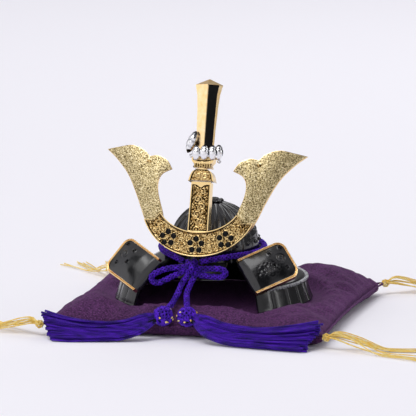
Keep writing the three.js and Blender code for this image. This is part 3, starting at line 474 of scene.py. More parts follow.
def tassel(end, count, seed):
    head, side, way = end["head"], end["side"], end["way"]
    route = [KNOT + Vector((0.3 * way, -2.2, -2.2))]
    route += [Vector((KNOT.x + x, KNOT.y + (head.y - KNOT.y) * ahead, KNOT.z + (head.z - KNOT.z) * down))
              for x, ahead, down in end["line"]]
    axis = (route[-1] - head).normalized()
    net_lines = netted_ball(head, HEAD_RADIUS, axis, 11, NET_YARN_RADIUS)
    # The ball under the net is near black: painted shade between the net's yarns.
    ball = joined([strand_mesh("net", net_lines, NET_YARN_RADIUS), ball_mesh(head, HEAD_RADIUS - 1.0)])
    net = set_out(f"tassel_ball_{side}", ball, [cord_yarn, core_painted_shade_yarn])
    chance = random.Random(seed + 5)
    specks = []
    for i in range(GOLD_SPECKS):
        out = Vector((math.sin(1.9 * i + seed), -math.cos(1.9 * i + seed) * 0.9,
                      chance.uniform(-0.55, 0.65))).normalized()
        slant = out.orthogonal().normalized()
        slant.rotate(Matrix.Rotation(chance.uniform(0, 3.1), 3, out))
        specks.append([head + (out + slant * t).normalized() * (HEAD_RADIUS + 0.12)
                       for t in (-0.09, -0.03, 0.03, 0.09)])
    gold = set_out(f"tassel_gold_{side}", strand_mesh("specks", specks, 0.4), [gold_yarn])
    skirt = set_out(f"tassel_skirt_{side}", tassel_skirt("skirt", end, count, seed), [skirt_yarn],
                    [f"tassel_{side}"])
    inside = [skirt_point(end, row, 0.42) - Vector((0, 0, 0.9)) for row in SKIRT_ROWS[1:3]]
    for p in inside:
        p.z = max(1.8, p.z)
    outer = smooth_line(route + [head + axis * 2.5])
    core = smooth_line(route + [head] + inside)
    # The core inside the braided end is near black: painted shade.
    mesh = joined([strand_mesh("end", braid_lines(outer), YARN_RADIUS),
                   strand_mesh("core", [core], CORE_RADIUS)])
    cord = set_out(f"cord_end_piece_{side}", mesh, [cord_yarn, core_painted_shade_yarn], [f"cord_end_{side}"])
    print(f"  {side} end: cord {line_length(core):.1f} mm")


tassel(LEFT_END, 118, 3)
tassel(RIGHT_END, 128, 8)

# %% [markdown]
# ## Crepe
# The cushion's cloth is silk crepe. Its hard-twisted threads shrink when they are washed and leave a
# grain of small irregular pebbles, under a millimetre wide. Cells a little stretched one way give that
# grain, with the grooves between the pebbles painted darker as shade, a finer noise gives the threads,
# and slow patches of colour give what use and light have done.

# %% Crepe finish
PEBBLE_SIZE = 0.85
crepe = new_finish("plum_silk_crepe", "#4f2656", 0.88, Sheen_Weight=0.3, Sheen_Roughness=0.45,
                   Sheen_Tint=linear("#8a5a94"), Specular_IOR_Level=0.3)
on_cloth = object_place(crepe)
drawn_out = add(crepe, "ShaderNodeMapping", {0: on_cloth, 3: (1.0, 1.45, 1.0)}).outputs[0]
wander = mottle(crepe, on_cloth, 2.4, output=1)
bent = add(crepe, "ShaderNodeVectorMath", {0: wander, 1: (0.9 * MM,) * 3, 2: drawn_out},
           operation="MULTIPLY_ADD").outputs[0]
fine = mottle(crepe, on_cloth, 0.4, 3.0)
grain = share_on(crepe, fine, 0.35, cells(crepe, bent, PEBBLE_SIZE))
# The grooves between the pebbles are coloured darker than their tops: painted shade.
tone = coloured(crepe, grain, (0.22, "#683a6e"), (0.9, "#2a1031"), (0.5, "#4c2452"))
patchy = ranged(crepe, mottle(crepe, on_cloth, 22, 3.0), 0.82, 1.16, 0.3, 0.7)
pebble_shade_and_wear = add(crepe, "ShaderNodeHueSaturation", {"Color": tone, "Value": patchy}).outputs[0]
feed(crepe, Base_Color=pebble_shade_and_wear, Normal=lifted(crepe, grain, 0.75, -0.22),
     Roughness=ranged(crepe, fine, 0.78, 0.95))
print("crepe: pebbles", PEBBLE_SIZE, "mm")

# %% [markdown]
# ## The cushion
# A cushion is a square bag, filled until its faces swell and its sides draw in between the corners.
# The solid gives its plan and the hollow that the helmet presses. A fine even mesh is wrapped round it,
# and a cloth simulation blows it up softly. The sole, the sewn edge and the hollow are pinned, so it
# stays where the helmet stands, and no point may move further than a few millimetres.

# %% Cushion shape
PULL, SEAM_HEIGHT = 8, 6
HOLLOW_RADIUS, HOLLOW_GROWS = 46.5, 11.3  # at the open front, and how much wider it is all round
CLOTH_CELL, SOLE_HEIGHT, SEWN_FROM = 2.6, 0.8, 0.955  # the cells' size, and where the cloth is pinned


def cushion_square(x, y):
    """Where a point lies in the cushion's square, from -1 to 1 each way."""
    u, v, pull = x / HALF_SIDE, y / HALF_SIDE, PULL / HALF_SIDE
    for _ in range(6):
        u = x / (HALF_SIDE * (1 - pull * (1 - v * v)))
        v = y / (HALF_SIDE * (1 - pull * (1 - u * u)))
    return u, v


def in_hollow(x, y):
    """How far inside the pressed hollow a point is, in millimetres; less than 0 is outside."""
    turn = abs(math.degrees(math.atan2(x, HELMET_Y - y)))
    ease = min(1, max(0, (turn - 20) / 14.6))
    edge = HOLLOW_RADIUS + HOLLOW_GROWS * ease * ease * (3 - 2 * ease)
    return edge - math.hypot(x, y - HELMET_Y)


def applied(piece):
    """The mesh as a piece's modifiers leave it."""
    return bpy.data.meshes.new_from_object(piece.evaluated_get(bpy.context.evaluated_depsgraph_get()))


cushion_shape = bmesh.new()
cushion_shape.from_mesh(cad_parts["cushion"].data)
bmesh.ops.remove_doubles(cushion_shape, verts=cushion_shape.verts, dist=0.01 * MM)
cushion_mesh = bpy.data.meshes.new("cushion_cloth")
cushion_shape.to_mesh(cushion_mesh)
cushion_shape.free()
blank = bpy.data.objects.new("cushion_blank", cushion_mesh)
bpy.context.scene.collection.objects.link(blank)
wrap = blank.modifiers.new("wrap", "REMESH")
wrap.mode = "VOXEL"
wrap.voxel_size = CLOTH_CELL * MM
wrapped = applied(blank)
blank.modifiers.clear()
blank.data = wrapped
pins = blank.vertex_groups.new(name="pins")
for v in wrapped.vertices:
    x, y, z = v.co / MM
    u, w = cushion_square(x, y)
    if z < SOLE_HEIGHT or in_hollow(x, y) > -1.5 or max(abs(u), abs(w)) > SEWN_FROM:
        pins.add([v.index], 1.0, "REPLACE")
    elif z > SEAM_HEIGHT:
        v.co.z = (SEAM_HEIGHT + (z - SEAM_HEIGHT) * 0.9) * MM
rest_places = [v.co.copy() for v in wrapped.vertices]
print("cushion: wrapped in", len(wrapped.vertices), "points")

# %% Cushion cloth
PUFF_LIMIT = 2.6
bag = blank.modifiers.new("bag", "CLOTH")
bag.settings.quality = 7
bag.settings.mass = 0.2
bag.settings.tension_stiffness = bag.settings.compression_stiffness = 12
bag.settings.bending_stiffness = 0.35
bag.settings.shrink_min = -0.05
bag.settings.use_pressure = True
bag.settings.uniform_pressure_force = 4
bag.settings.effector_weights.gravity = 0
bag.settings.vertex_group_mass = "pins"
bag.collision_settings.use_collision = False
for step in range(1, 21):
    bpy.context.scene.frame_set(step)
puffed = applied(blank)
blank.modifiers.clear()
blank.data = puffed
bpy.context.scene.frame_set(1)
for v, rest in zip(puffed.vertices, rest_places):
    move = v.co - rest
    if move.length > PUFF_LIMIT * MM:
        v.co = rest + move.normalized() * PUFF_LIMIT * MM
moved = max((v.co - rest).length for v, rest in zip(blank.data.vertices, rest_places)) / MM
print("cushion: swelled up to", round(moved, 1), "mm")

# %% Cushion folds
finer = blank.modifiers.new("finer", "SUBSURF")
finer.levels = finer.render_levels = 1
cushion_mesh = applied(blank)
bpy.data.objects.remove(blank)
FULLNESS = 5.5  # how far the filling pushes the back and the two sides out again
SIDE_SWELL = 3.6
FOOT_DIPS, FOOT_Y, FOOT_REACH = ((38, 2.6), (-38, 1.5)), -54, 14  # two soft dips in front: x and depth
for v in cushion_mesh.vertices:
    x, y, z = v.co / MM
    u, w = cushion_square(x, y)
    edge = max(abs(u), abs(w))
    v.co.x += FULLNESS * (1 - w * w) * abs(u) ** 5 * math.copysign(MM, u)
    v.co.y += FULLNESS * (1 - u * u) * max(0, w) ** 5 * MM
    full_side = 0.35 + 0.65 * min(1, max(0, (max(-u, w) + 0.2) / 0.7))
    above_seam = min(1, max(0, (z - 4) / 5)) * min(1, max(0, -in_hollow(x, y) / 12))
    v.co.z += SIDE_SWELL * full_side * above_seam * math.exp(-((edge - 0.78) / 0.22) ** 2) * MM
    for foot_x, dip in FOOT_DIPS:
        near_foot = math.exp(-((x - foot_x) ** 2 + (y - FOOT_Y) ** 2) / FOOT_REACH ** 2)
        v.co.z -= dip * near_foot * min(1, max(0, (z - 6) / 4)) * MM
    free = min(1, max(0, (z - 1.2) / 3)) * min(1, max(0.0, -in_hollow(x, y) / 5))
    gathers = math.sin((x if abs(w) > abs(u) else y) / 2.1 + 2.2 * noise.noise(Vector((x, y, 0)) / 14))
    pucker = 0.34 * gathers * math.exp(-((edge - 0.94) / 0.05) ** 2)
    swell = 0.75 * noise.noise(Vector((x, y, z)) / 17) + 0.3 * noise.noise(Vector((x, y, z)) / 7)
    v.co.z += free * (pucker + swell) * MM
cushion = set_out("cushion_cloth", cushion_mesh, [crepe], ["cushion"], crease=180)

edge_line = []
for side in range(4):
    for i in range(30):
        t = i / 15 - 1
        pulled = PULL - (FULLNESS if side else 0)
        corner = Vector((HALF_SIDE * t, -HALF_SIDE + pulled * (1 - t * t), SEAM_HEIGHT))
        corner.rotate(Matrix.Rotation(side * math.pi / 2, 3, "Z"))
        edge_line.append(corner + Vector((0, 0, 0.18 * math.sin(i * 2.3 + side))))
seam = smooth_line(edge_line + edge_line[:1], 1.2)
set_out("cushion_seam", strand_mesh("seam", [seam], 0.55, roundness=2), [crepe])

# %% [markdown]
# ## Corner tassels
# At each corner of the cushion hangs a knot of pale gold thread, whose ends lie loose on the table. The
# knot is the same netted ball, made small, and the ends are thin strands that fan out a little.

# %% Corner tassels
CORNERS = (  # name, side, side, heading of its threads in degrees
    ("front_left", -1, -1, 155), ("front_right", 1, -1, -8), ("back_right", 1, 1, 32),
    ("back_left", -1, 1, 115))
THREADS, THREAD_LENGTH, THREAD_RADIUS = 14, 60, 0.31
CORNER_BALL, CORNER_AWAY = 2.25, HALF_SIDE * math.sqrt(2)
THREAD_ROWS = ((0, SEAM_HEIGHT, 0), (0.1, 6.2, 1), (0.3, 3.4, 1), (0.55, 0.7, 0), (0.8, 0.5, 0),
               (1, 0.45, 0))  # share of its length, height, and share of the arch
for place, (corner, side_x, side_y, heading) in enumerate(CORNERS):
    chance = random.Random(40 + place)
    outward = Vector((side_x, side_y, 0)).normalized()
    knot = outward * (CORNER_AWAY + 2.3) + Vector((0, 0, SEAM_HEIGHT))
    threads = netted_ball(knot, CORNER_BALL, outward, 5, 0.36)
    threads.append([outward * (CORNER_AWAY - 1.5) + Vector((0, 0, SEAM_HEIGHT)), knot])
    for _ in range(THREADS):
        spread = heading + chance.uniform(-17, 17)
        bend, reach = chance.gauss(0, 5), chance.uniform(0.9, 1.0)
        arch = chance.uniform(-1, 3)
        points = []
        for share, z, arched in THREAD_ROWS:
            way = math.radians(spread + bend * share)
            points.append(knot + Vector((math.cos(way), math.sin(way), 0)) * share * THREAD_LENGTH * reach)
            points[-1].z = z + arch * arched + chance.uniform(0, 0.5)
        threads.append(smooth_line(points, 2.5))
    set_out(f"corner_threads_{corner}", strand_mesh("threads", threads, THREAD_RADIUS), [gold_yarn],
            [f"corner_tassel_{corner}"])

# %% [markdown]
# ## Lacquer, gilt, enamel and silver plate
# The helmet is cast zinc under baked black enamel: nearly black in itself, so all that shows is what
# it reflects, a little broken by the casting's skin. The crest is plated in pale gilt and worked three
# ways: polished edges, blasted faces with a salt-and-pepper grain, and chased grounds whose hollows are
# painted orange-brown to near black as painted shade. That shade is marked on each mesh point as its
# tone.

# %% Metal finishes
black_lacquer = new_finish("black_baked_enamel_on_zinc", "#0c0d10", 0.17, Specular_IOR_Level=0.66)
on_lacquer = object_place(black_lacquer)
dust = mottle(black_lacquer, on_lacquer, 9, 5.0)
feed(black_lacquer, Roughness=ranged(black_lacquer, dust, 0.1, 0.3, 0.3, 0.75),
     Base_Color=coloured(black_lacquer, dust, (0.35, "#08090b"), (0.8, "#15161a")),
     Normal=lifted(black_lacquer, mottle(black_lacquer, on_lacquer, 2.6, 3.0), 0.35, 0.08))

bright_gilt = new_finish("polished_gilt_plate", "#f8d796", 0.2, 1.0)
rub = mottle(bright_gilt, object_place(bright_gilt), 3, 4.0)
feed(bright_gilt, Roughness=ranged(bright_gilt, rub, 0.14, 0.28, 0.3, 0.7),
     Base_Color=coloured(bright_gilt, rub, (0.3, "#f0c888"), (0.7, "#fce3b4")),
     Normal=lifted(bright_gilt, rub, 0.2, 0.08))

blasted_gilt = new_finish("blasted_gilt_plate", "#d9bf85", 0.4, 1.0)
grit = mottle(blasted_gilt, object_place(blasted_gilt), 0.62, roughness=0.6)
feed(blasted_gilt, Roughness=ranged(blasted_gilt, grit, 0.5, 0.28),
     Base_Color=coloured(blasted_gilt, grit, (0.37, "#463a24"), (0.7, "#fff5d2"), (0.49, "#bba878"),
                         (0.59, "#e2d0a2")),
     Normal=lifted(blasted_gilt, grit, 0.85, 0.2))

chased_gilt = new_finish("chased_gilt_plate", "#e2c384", 0.32, 1.0)
on_chase = object_place(chased_gilt)
# The mesh's tone turns the gilt orange-brown to near black: painted shade in the hollows, over the ground's
# grain.
hollow = tone_mark(chased_gilt)
ground = share_on(chased_gilt, mottle(chased_gilt, on_chase, 0.7), 0.55, cells(chased_gilt, on_chase, 0.78))
ground_share = ranged(chased_gilt, hollow, 0.0, 1.0, 0.02, 0.3)
grain_and_painted_shade = share_on(chased_gilt, ranged(chased_gilt, ground, 0.0, 0.95, 0.44, 0.88), ground_share, hollow)
dents = add(chased_gilt, "ShaderNodeMath", {0: ground, 1: ground_share}, operation="MULTIPLY").outputs[0]
feed(chased_gilt, Roughness=ranged(chased_gilt, grain_and_painted_shade, 0.2, 0.5),
     Base_Color=coloured(chased_gilt, grain_and_painted_shade, (0.0, "#f5d698"), (1.0, "#0c0804"), (0.3, "#cfb680"),
                         (0.52, "#a58048"), (0.76, "#36270f")),
     Normal=lifted(chased_gilt, dents, 0.9, -0.22))

black_enamel = new_finish("black_glass_enamel", "#050505", 0.07, Specular_IOR_Level=0.14)
flow = mottle(black_enamel, object_place(black_enamel), 1.6)
feed(black_enamel, Roughness=ranged(black_enamel, flow, 0.05, 0.14),
     Base_Color=coloured(black_enamel, flow, (0.3, "#030303"), (0.8, "#0e0d0c")))

# The mesh's tone darkens the silver: painted shade in the claw's pinches, on its sides and over its tops.
silver_plate = new_finish("bright_silver_plate", "#ececee", 0.14, 1.0)
bite = mottle(silver_plate, object_place(silver_plate), 0.9)
feed(silver_plate, Roughness=ranged(silver_plate, bite, 0.1, 0.24),
     Base_Color=coloured(silver_plate, share_on(silver_plate, bite, 0.28, tone_mark(silver_plate)),
                         (0.1, "#f4f4f5"), (0.9, "#191a1c"), (0.3, "#dcdde0"), (0.55, "#707277")),
     Normal=lifted(silver_plate, bite, 0.3, 0.1))
print("metals ready")

# %% [markdown]
# ## Plates with relief
# Most of the helmet is thin plate with a worked face. The grid operator gives the face, extruding it
# gives the back and the walls, and one rule then says where each point of the front and of the back
# goes, and how deep in a hollow it is, which the finish paints as shade. A turned piece is a profile
# spun once round its axis.

# %% Plate and turning helpers
def finished_mesh(name, shape, merge=0.002):
    bmesh.ops.remove_doubles(shape, verts=shape.verts, dist=merge)
    bmesh.ops.recalc_face_normals(shape, faces=shape.faces)
    bmesh.ops.scale(shape, vec=(MM, MM, MM), verts=shape.verts)
    mesh = bpy.data.meshes.new(name)
    shape.to_mesh(mesh)
    shape.free()
    return mesh


def plate(columns, rows, place):
    """A closed plate; place gives a point and its tone from (u, v, front), with u and v from 0 to 1."""
    shape = bmesh.new()
    bmesh.ops.create_grid(shape, x_segments=columns, y_segments=rows, size=0.5)
    made = bmesh.ops.extrude_face_region(shape, geom=shape.faces[:], use_keep_orig=True)["geom"]
    bmesh.ops.translate(shape, vec=(0, 0, 1), verts=[g for g in made if isinstance(g, bmesh.types.BMVert)])
    tone = shape.verts.layers.float.new("tone")
    for v in shape.verts:
        v.co, v[tone] = place(v.co.x + 0.5, v.co.y + 0.5, v.co.z > 0.5)
    return shape


def spun(profile, steps):
    """A closed profile of (radius, height), turned once round the upright axis."""
    shape = bmesh.new()
    verts = [shape.verts.new((0, -radius, height)) for radius, height in profile]
    edges = [shape.edges.new(pair) for pair in zip(verts, verts[1:] + verts[:1])]
    bmesh.ops.spin(shape, geom=verts + edges, cent=(0, 0, 0), axis=(0, 0, 1), angle=2 * math.pi, steps=steps,
                   use_merge=True, use_duplicate=False)
    bmesh.ops.remove_doubles(shape, verts=shape.verts, dist=1e-4)
    return shape


def hill(distance, width):
    return math.exp(-(distance / width) ** 2)


def step_up(value, low, high):
    t = min(1, max(0, (value - low) / (high - low)))
    return t * t * (3 - 2 * t)


def along_rows(rows, share):
    """Straight between the rows of a table whose first column is the share."""
    for a, b in zip(rows, rows[1:]):
        if share <= b[0]:
            t = (share - a[0]) / (b[0] - a[0])
            return [x + (y - x) * t for x, y in zip(a[1:], b[1:])]
    return list(rows[-1][1:])


# %% [markdown]
# ## The bowl
# The real bowl is made of plates that overlap under standing ribs, over a waist band with a joint and
# a round rivet for each plate. Here its profile, outside and inside, is spun in many steps, and each
# outside point then moves out or in by its distance from the nearest rib.

# %% Bowl
DOME_HEIGHT, DOME_POWER, WALL = 23.4, 1.9, 1.6
BAND_TOP, RIB_COUNT = WAIST + 7.7, 20
RIB_ARC = 25  # the bowl's mean radius, for distances round it
RIVET_RISE = 3.2
INNER_MARK = 1000  # lifts the inside points of the profile, so that they are told apart after the spin


def dome(turn):
    s, c = math.sin(math.radians(turn)), math.cos(math.radians(turn))
    return WAIST + DOME_HEIGHT * s ** (2 / DOME_POWER), c ** (2 / DOME_POWER)


outside = [(1, BOWL_RIM), (1, BOWL_RIM + 0.6), (1, 35), (1, 37), (1, WAIST)]
outside += [(dome(t)[1], dome(t)[0]) for t in range(2, 90, 2)] + [(0, WAIST + DOME_HEIGHT)]
inside = [(0, WAIST + DOME_HEIGHT - WALL + INNER_MARK)]
inside += [(dome(t)[1], dome(t)[0] - WALL * math.sin(math.radians(t)) + INNER_MARK) for t in range(84, 0, -6)]
inside += [(1, WAIST + INNER_MARK), (1, BOWL_RIM + INNER_MARK)]
bowl = spun(outside + inside, 18 * RIB_COUNT)
for v in bowl.verts:
    share, turn = math.hypot(v.co.x, v.co.y), math.atan2(v.co.x, -v.co.y)
    s, c = math.sin(turn), math.cos(turn)
    if v.co.z > INNER_MARK / 2:
        v.co.z -= INNER_MARK
        out = -WALL * min(1, share * 3)
    else:
        pitch = 360 / RIB_COUNT
        from_rib = abs((math.degrees(turn) + pitch / 2) % pitch - pitch / 2)
        aside = math.radians(from_rib) * RIB_ARC * max(0.1, share)
        band = 1 - step_up(v.co.z, BAND_TOP - 0.1, BAND_TOP + 0.3)
        rib = 0.85 * hill(aside, 0.5) - 0.22 * hill(aside - 1.1, 0.5) + 0.25 * step_up(aside, 0.8, 3)
        joint = 0.5 - 0.5 * hill(aside, 0.32) + 0.3 * (1 - step_up(v.co.z, 33.4, 34.4))
        edge = 0.25 * hill(v.co.z - BAND_TOP + 0.6, 0.5)
        out = band * (joint + edge) + (1 - band) * rib * min(1, share * 2.2)
        out += 0.06 * noise.noise(Vector((s * 9, c * 9, v.co.z / 4)))
    v.co.x, v.co.y = (BOWL_HALF_WIDTH * share + out) * s, HELMET_Y - (BOWL_HALF_DEPTH * share + out) * c
set_out("ribbed_bowl", finished_mesh("bowl", bowl), [black_lacquer], ["bowl"], crease=50)

rivets = bmesh.new()
for i in range(RIB_COUNT):
    degrees = (i + 0.5) * 360 / RIB_COUNT
    turned = Matrix.Rotation(math.radians(degrees), 3, "Z")
    for radius, height, out in ((1.25, 0.45, 0.35), (0.8, 0.8, 0.75)):
        made = bmesh.ops.create_uvsphere(rivets, u_segments=16, v_segments=8, radius=1)["verts"]
        bmesh.ops.scale(rivets, vec=(radius, height, radius), verts=made)
        bmesh.ops.rotate(rivets, cent=(0, 0, 0), matrix=turned, verts=made)
        bmesh.ops.translate(rivets, vec=round_bowl(degrees, out, RIVET_RISE), verts=made)
set_out("band_rivets", finished_mesh("rivets", rivets, 0.0001), [black_lacquer])

# %% Bowl finial
BOWL_TOP = dome(82)[0]
FINIAL_PROFILE = ((0, 0), (4.4, 0), (4.7, 0.4), (4.2, 0.95), (3.1, 1.1), (2.9, 0.9), (2.5, 1.0), (2.3, 1.5),
                  (2.4, 1.75), (2.0, 1.9), (1.5, 1.85), (1.3, 1.2), (0, 1.1))
LOBES = 8
finial = spun(FINIAL_PROFILE, 12 * LOBES)
for v in finial.verts:
    radius, turn = math.hypot(v.co.x, v.co.y), math.atan2(v.co.x, -v.co.y)
    ruffle = 1 + 0.11 * step_up(radius, 2.6, 4) * math.cos(LOBES * turn)
    ruffle += 0.05 * step_up(radius, 1.4, 2.4) * math.cos(2 * LOBES * turn)
    v.co.x *= ruffle
    v.co.y = v.co.y * ruffle + HELMET_Y
    v.co.z += BOWL_TOP + 0.1 + 0.25 * step_up(radius, 2.6, 4.2) * math.cos(LOBES * turn)
set_out("ruffled_finial", finished_mesh("finial", finial), [black_lacquer], ["bowl_finial"])

# %% [markdown]
# ## The neck guard
# Below the bowl the guard flares to the cushion: a smooth upper plate, a twisted rope line, and then
# upright scales with narrow joints. Its surface is a rule of two numbers, one round the helmet and
# one down it, and the wall is set half to each side of that surface.

# %% Neck guard
GUARD_OPENING, GUARD_TOP, SEAT, HEM_RADIUS = 40.6, 36, 10.5, 55.5
HEM_HALF_WIDTH, GUARD_GAP = 52.3, 1.6  # the gap is between the bowl and the guard's upper edge
SCALE_COUNT = 24
SCALE_ARC = 50  # the scales' mean radius, for distances round them
GUARD_ROWS = ((0, 0), (0.1, 0.13), (0.52, 0.83), (0.56, 0.87), (0.62, 0.875), (1, 1))  # drop, spread


def guard_plan(turn, half_width, half_depth):
    s, c = math.sin(math.radians(turn)), math.cos(math.radians(turn))
    back = 1 - 0.1 * min(1, (half_depth - BOWL_HALF_DEPTH) / 20) if c < 0 else 1
    return (half_width * s, HELMET_Y - half_depth * c * back)


def guard_surface(u, v):
    turn = GUARD_OPENING + (360 - 2 * GUARD_OPENING) * u
    spread = along_rows(GUARD_ROWS, v)[0]
    half_width, half_depth = BOWL_HALF_WIDTH + GUARD_GAP, BOWL_HALF_DEPTH + GUARD_GAP
    half_width += (HEM_HALF_WIDTH - WALL / 2 - half_width) * spread
    half_depth += (HEM_RADIUS - WALL / 2 - half_depth) * spread
    return Vector((*guard_plan(turn, half_width, half_depth), GUARD_TOP + (SEAT - GUARD_TOP) * v + 0.4))


def off_surface(surface, u, v, out):
    """A point of a surface moved out along the surface's own normal."""
    e = 0.004
    along = surface(min(1, u + e), v) - surface(max(0, u - e), v)
    down = surface(u, min(1, v + e)) - surface(u, max(0, v - e))
    return surface(u, v) + down.cross(along).normalized() * out


def guard_place(u, v, front):
    scale = u * SCALE_COUNT
    aside = abs(scale - round(scale)) * math.radians(360 - 2 * GUARD_OPENING) / SCALE_COUNT * SCALE_ARC
    inner_joint = 0 < round(scale) < SCALE_COUNT
    groove = step_up(v, 0.575, 0.6) * (0.75 * hill(aside, 0.34) if inner_joint else 0)
    bulge = 0.3 * step_up(v, 0.6, 0.64) * step_up(aside, 0.3, 3.2)
    lip = 0.25 * hill((v - 0.985) * 25, 0.5) + 0.3 * hill((v - 0.53) * 25, 0.5)
    out = WALL / 2 - groove + bulge * 0.7 + lip if front else -WALL / 2
    return off_surface(guard_surface, u, v, out), 0.0


guard = plate(14 * SCALE_COUNT, 44, guard_place)
bmesh.ops.translate(guard, vec=(0, 0, SEAT - min(v.co.z for v in guard.verts)), verts=guard.verts)
set_out("scaled_neck_guard", finished_mesh("guard", guard), [black_lacquer], ["neck_guard"],
        crease=45)

rope_line = smooth_line([off_surface(guard_surface, i / 72, 0.567, WALL / 2 + 0.55) for i in range(73)], 0.3)
rope = [[p + (a * math.cos(i * 0.42 + start) + b * math.sin(i * 0.42 + start)) * 0.46
         for i, (p, (a, b)) in enumerate(zip(rope_line, frames_along(rope_line)))] for start in (0, math.pi)]
set_out("guard_rope", strand_mesh("rope", rope, 0.5), [lace_yarn])


# %% Brim
BRIM_SPREAD, BRIM_REACH, BRIM_DROP = 30, 3.6, 8.6


def brim_surface(u, v):
    turn = BRIM_SPREAD * (2 * u - 1) * (1 - 0.15 * v)
    reach = 2.2 + BRIM_REACH * v
    return Vector((*guard_plan(turn, BOWL_HALF_WIDTH + reach, BOWL_HALF_DEPTH + reach),
                   BOWL_RIM + 0.4 - BRIM_DROP * v))


def brim_place(u, v, front):
    edge = min(u, 1 - u) * 26
    bead = 0.3 * hill((1 - v) * BRIM_DROP - 0.5, 0.5) + 0.3 * hill(edge - 0.5, 0.5)
    return off_surface(brim_surface, u, v, WALL / 2 + bead if not front else -WALL / 2), 0.0


set_out("face_brim", finished_mesh("brim", plate(60, 24, brim_place)), [black_lacquer], ["brim"])

# %% [markdown]
# ## The turnbacks
# Beside the face the guard's upper plate runs forward, folds and turns back as a round-ended panel
# with a ring of dimples round a boss, in a gilt rim with two rounded beads. The panel has its own
# three directions. The left one is the right one mirrored, but without the wavy patch beside the ring.

# %% Turnback frame
PANEL_WIDTH, PANEL_HEIGHT, PANEL_CORNER, RIM_WIDTH = 27, 19.8, 5, 1.35
LOWER_SHARE = 1.22  # a panel reaches further below its middle than above it
PANEL_TILT, PANEL_SWING, PANEL_ROLL = math.radians(34.8), math.radians(23.3), math.radians(23)
facing = Vector((0, -1, 0))
facing.rotate(Matrix.Rotation(-PANEL_TILT, 3, "X"))
facing.rotate(Matrix.Rotation(PANEL_SWING, 3, "Z"))
panel_along = Vector((1, 0, 0))
panel_along.rotate(Matrix.Rotation(PANEL_SWING, 3, "Z"))
panel_along.rotate(Matrix.Rotation(PANEL_ROLL, 3, facing))
panel_up = facing.cross(panel_along)
front_edge = BOWL_HALF_DEPTH + (HEM_RADIUS - BOWL_HALF_DEPTH) * 0.7
edge_x, edge_y = guard_plan(GUARD_OPENING, front_edge, front_edge)
panel_centre = Vector((edge_x + 5.6, edge_y + 2.4, GUARD_TOP - 2.6))
PANEL_END, PANEL_SIDE = PANEL_WIDTH / 2 - RIM_WIDTH - 0.3, PANEL_HEIGHT / 2 - RIM_WIDTH - 0.3
RING_MIDDLE, RING_RADIUS = (0.5 * PANEL_END + 1.4, 0.7), 6
DIMPLES, FIRST_DIMPLE, BOSS_RADIUS = 5, 61.5, 1.75
RIGHT_LEAN = panel_along * 1.5 + panel_up * 0.8  # the right one of this helmet is bent out a little further


def on_panel(along, up, out):
    return panel_centre + panel_along * along + panel_up * (up if up > 0 else up * LOWER_SHARE) + facing * out


def panel_half_height(along):
    radius = PANEL_CORNER - RIM_WIDTH
    past = max(0, along - (PANEL_END - radius))
    return PANEL_SIDE - radius + math.sqrt(max(0.0, radius * radius - past * past))


FOLD_COLUMNS, PANEL_COLUMNS, PANEL_ROWS = 18, 76, 56
PANEL_START = 0.86  # the flat panel begins at this share of its half length before the middle
panel_grid = []
for row in range(PANEL_ROWS + 1):
    up = 1 - 2 * row / PANEL_ROWS
    share = row / PANEL_ROWS
    reach = BOWL_HALF_DEPTH + 2 + (HEM_RADIUS - BOWL_HALF_DEPTH - 2) * (0.12 + 0.68 * share)
    edge = Vector((*guard_plan(GUARD_OPENING - 3.6, reach, reach),
                   GUARD_TOP + (SEAT - GUARD_TOP) * (0.08 + 0.42 * share)))
    fold = on_panel(-PANEL_END - 1.2, up * PANEL_SIDE, -3.2)
    turn_line = smooth_line([
        edge, edge.lerp(fold, 0.55), fold, on_panel(-PANEL_END - 0.4, up * PANEL_SIDE, -1.1),
        on_panel(-PANEL_START * PANEL_END, up * PANEL_SIDE, 0.2 * (1 - up * up))], 0.25)
    line = [turn_line[round(i * (len(turn_line) - 1) / FOLD_COLUMNS)] for i in range(FOLD_COLUMNS)]
    for i in range(PANEL_COLUMNS + 1):
        along = PANEL_END * (-PANEL_START + (0.999 + PANEL_START) * (i / PANEL_COLUMNS) ** 0.9)
        crown = 1.7 * (1 - up * up) * (1 - (along / PANEL_END) ** 2)
        line.append(on_panel(along, up * panel_half_height(along), crown))
    panel_grid.append(line)


def panel_surface(u, v):
    columns = FOLD_COLUMNS + PANEL_COLUMNS
    row, column = min(PANEL_ROWS, max(0, v * PANEL_ROWS)), min(columns, max(0, u * columns))
    i, j = min(PANEL_ROWS - 1, int(row)), min(columns - 1, int(column))
    top = panel_grid[i][j].lerp(panel_grid[i][j + 1], column - j)
    return top.lerp(panel_grid[i + 1][j].lerp(panel_grid[i + 1][j + 1], column - j), row - i)


def panel_place(u, v, front, cloud_depth=0.7):
    if not front:
        return off_surface(panel_surface, u, v, -WALL / 2), 0.0
    spot = panel_surface(u, v) - panel_centre
    along, up = spot.dot(panel_along), spot.dot(panel_up)
    out = WALL / 2
    from_boss = math.hypot(along - RING_MIDDLE[0], up - RING_MIDDLE[1])
    if from_boss < BOSS_RADIUS:
        out += 0.95 * math.sqrt(1 - (from_boss / (BOSS_RADIUS + 0.01)) ** 2) - 0.35 * hill(from_boss, 0.5)
    out -= 0.25 * hill(from_boss - 2.2, 0.35)
    for i in range(DIMPLES):
        turn = math.radians(FIRST_DIMPLE + 360 / DIMPLES * i)
        away_from = math.hypot(along - RING_MIDDLE[0] - RING_RADIUS * math.cos(turn),
                               up - RING_MIDDLE[1] - RING_RADIUS * math.sin(turn))
        out += -0.95 * (1 - step_up(away_from, 0.72, 0.98)) + 0.12 * hill(away_from - 1.2, 0.25)
    cloud = hill(math.hypot((along + 1.2) / 6, (up + 2.6) / 3.4), 0.8)
    out += 0.09 * noise.noise(spot / 4)
    out += cloud_depth * cloud * noise.noise(Vector((along / 1.5, up / 0.9, 0)))
    return off_surface(panel_surface, u, v, out), 0.0


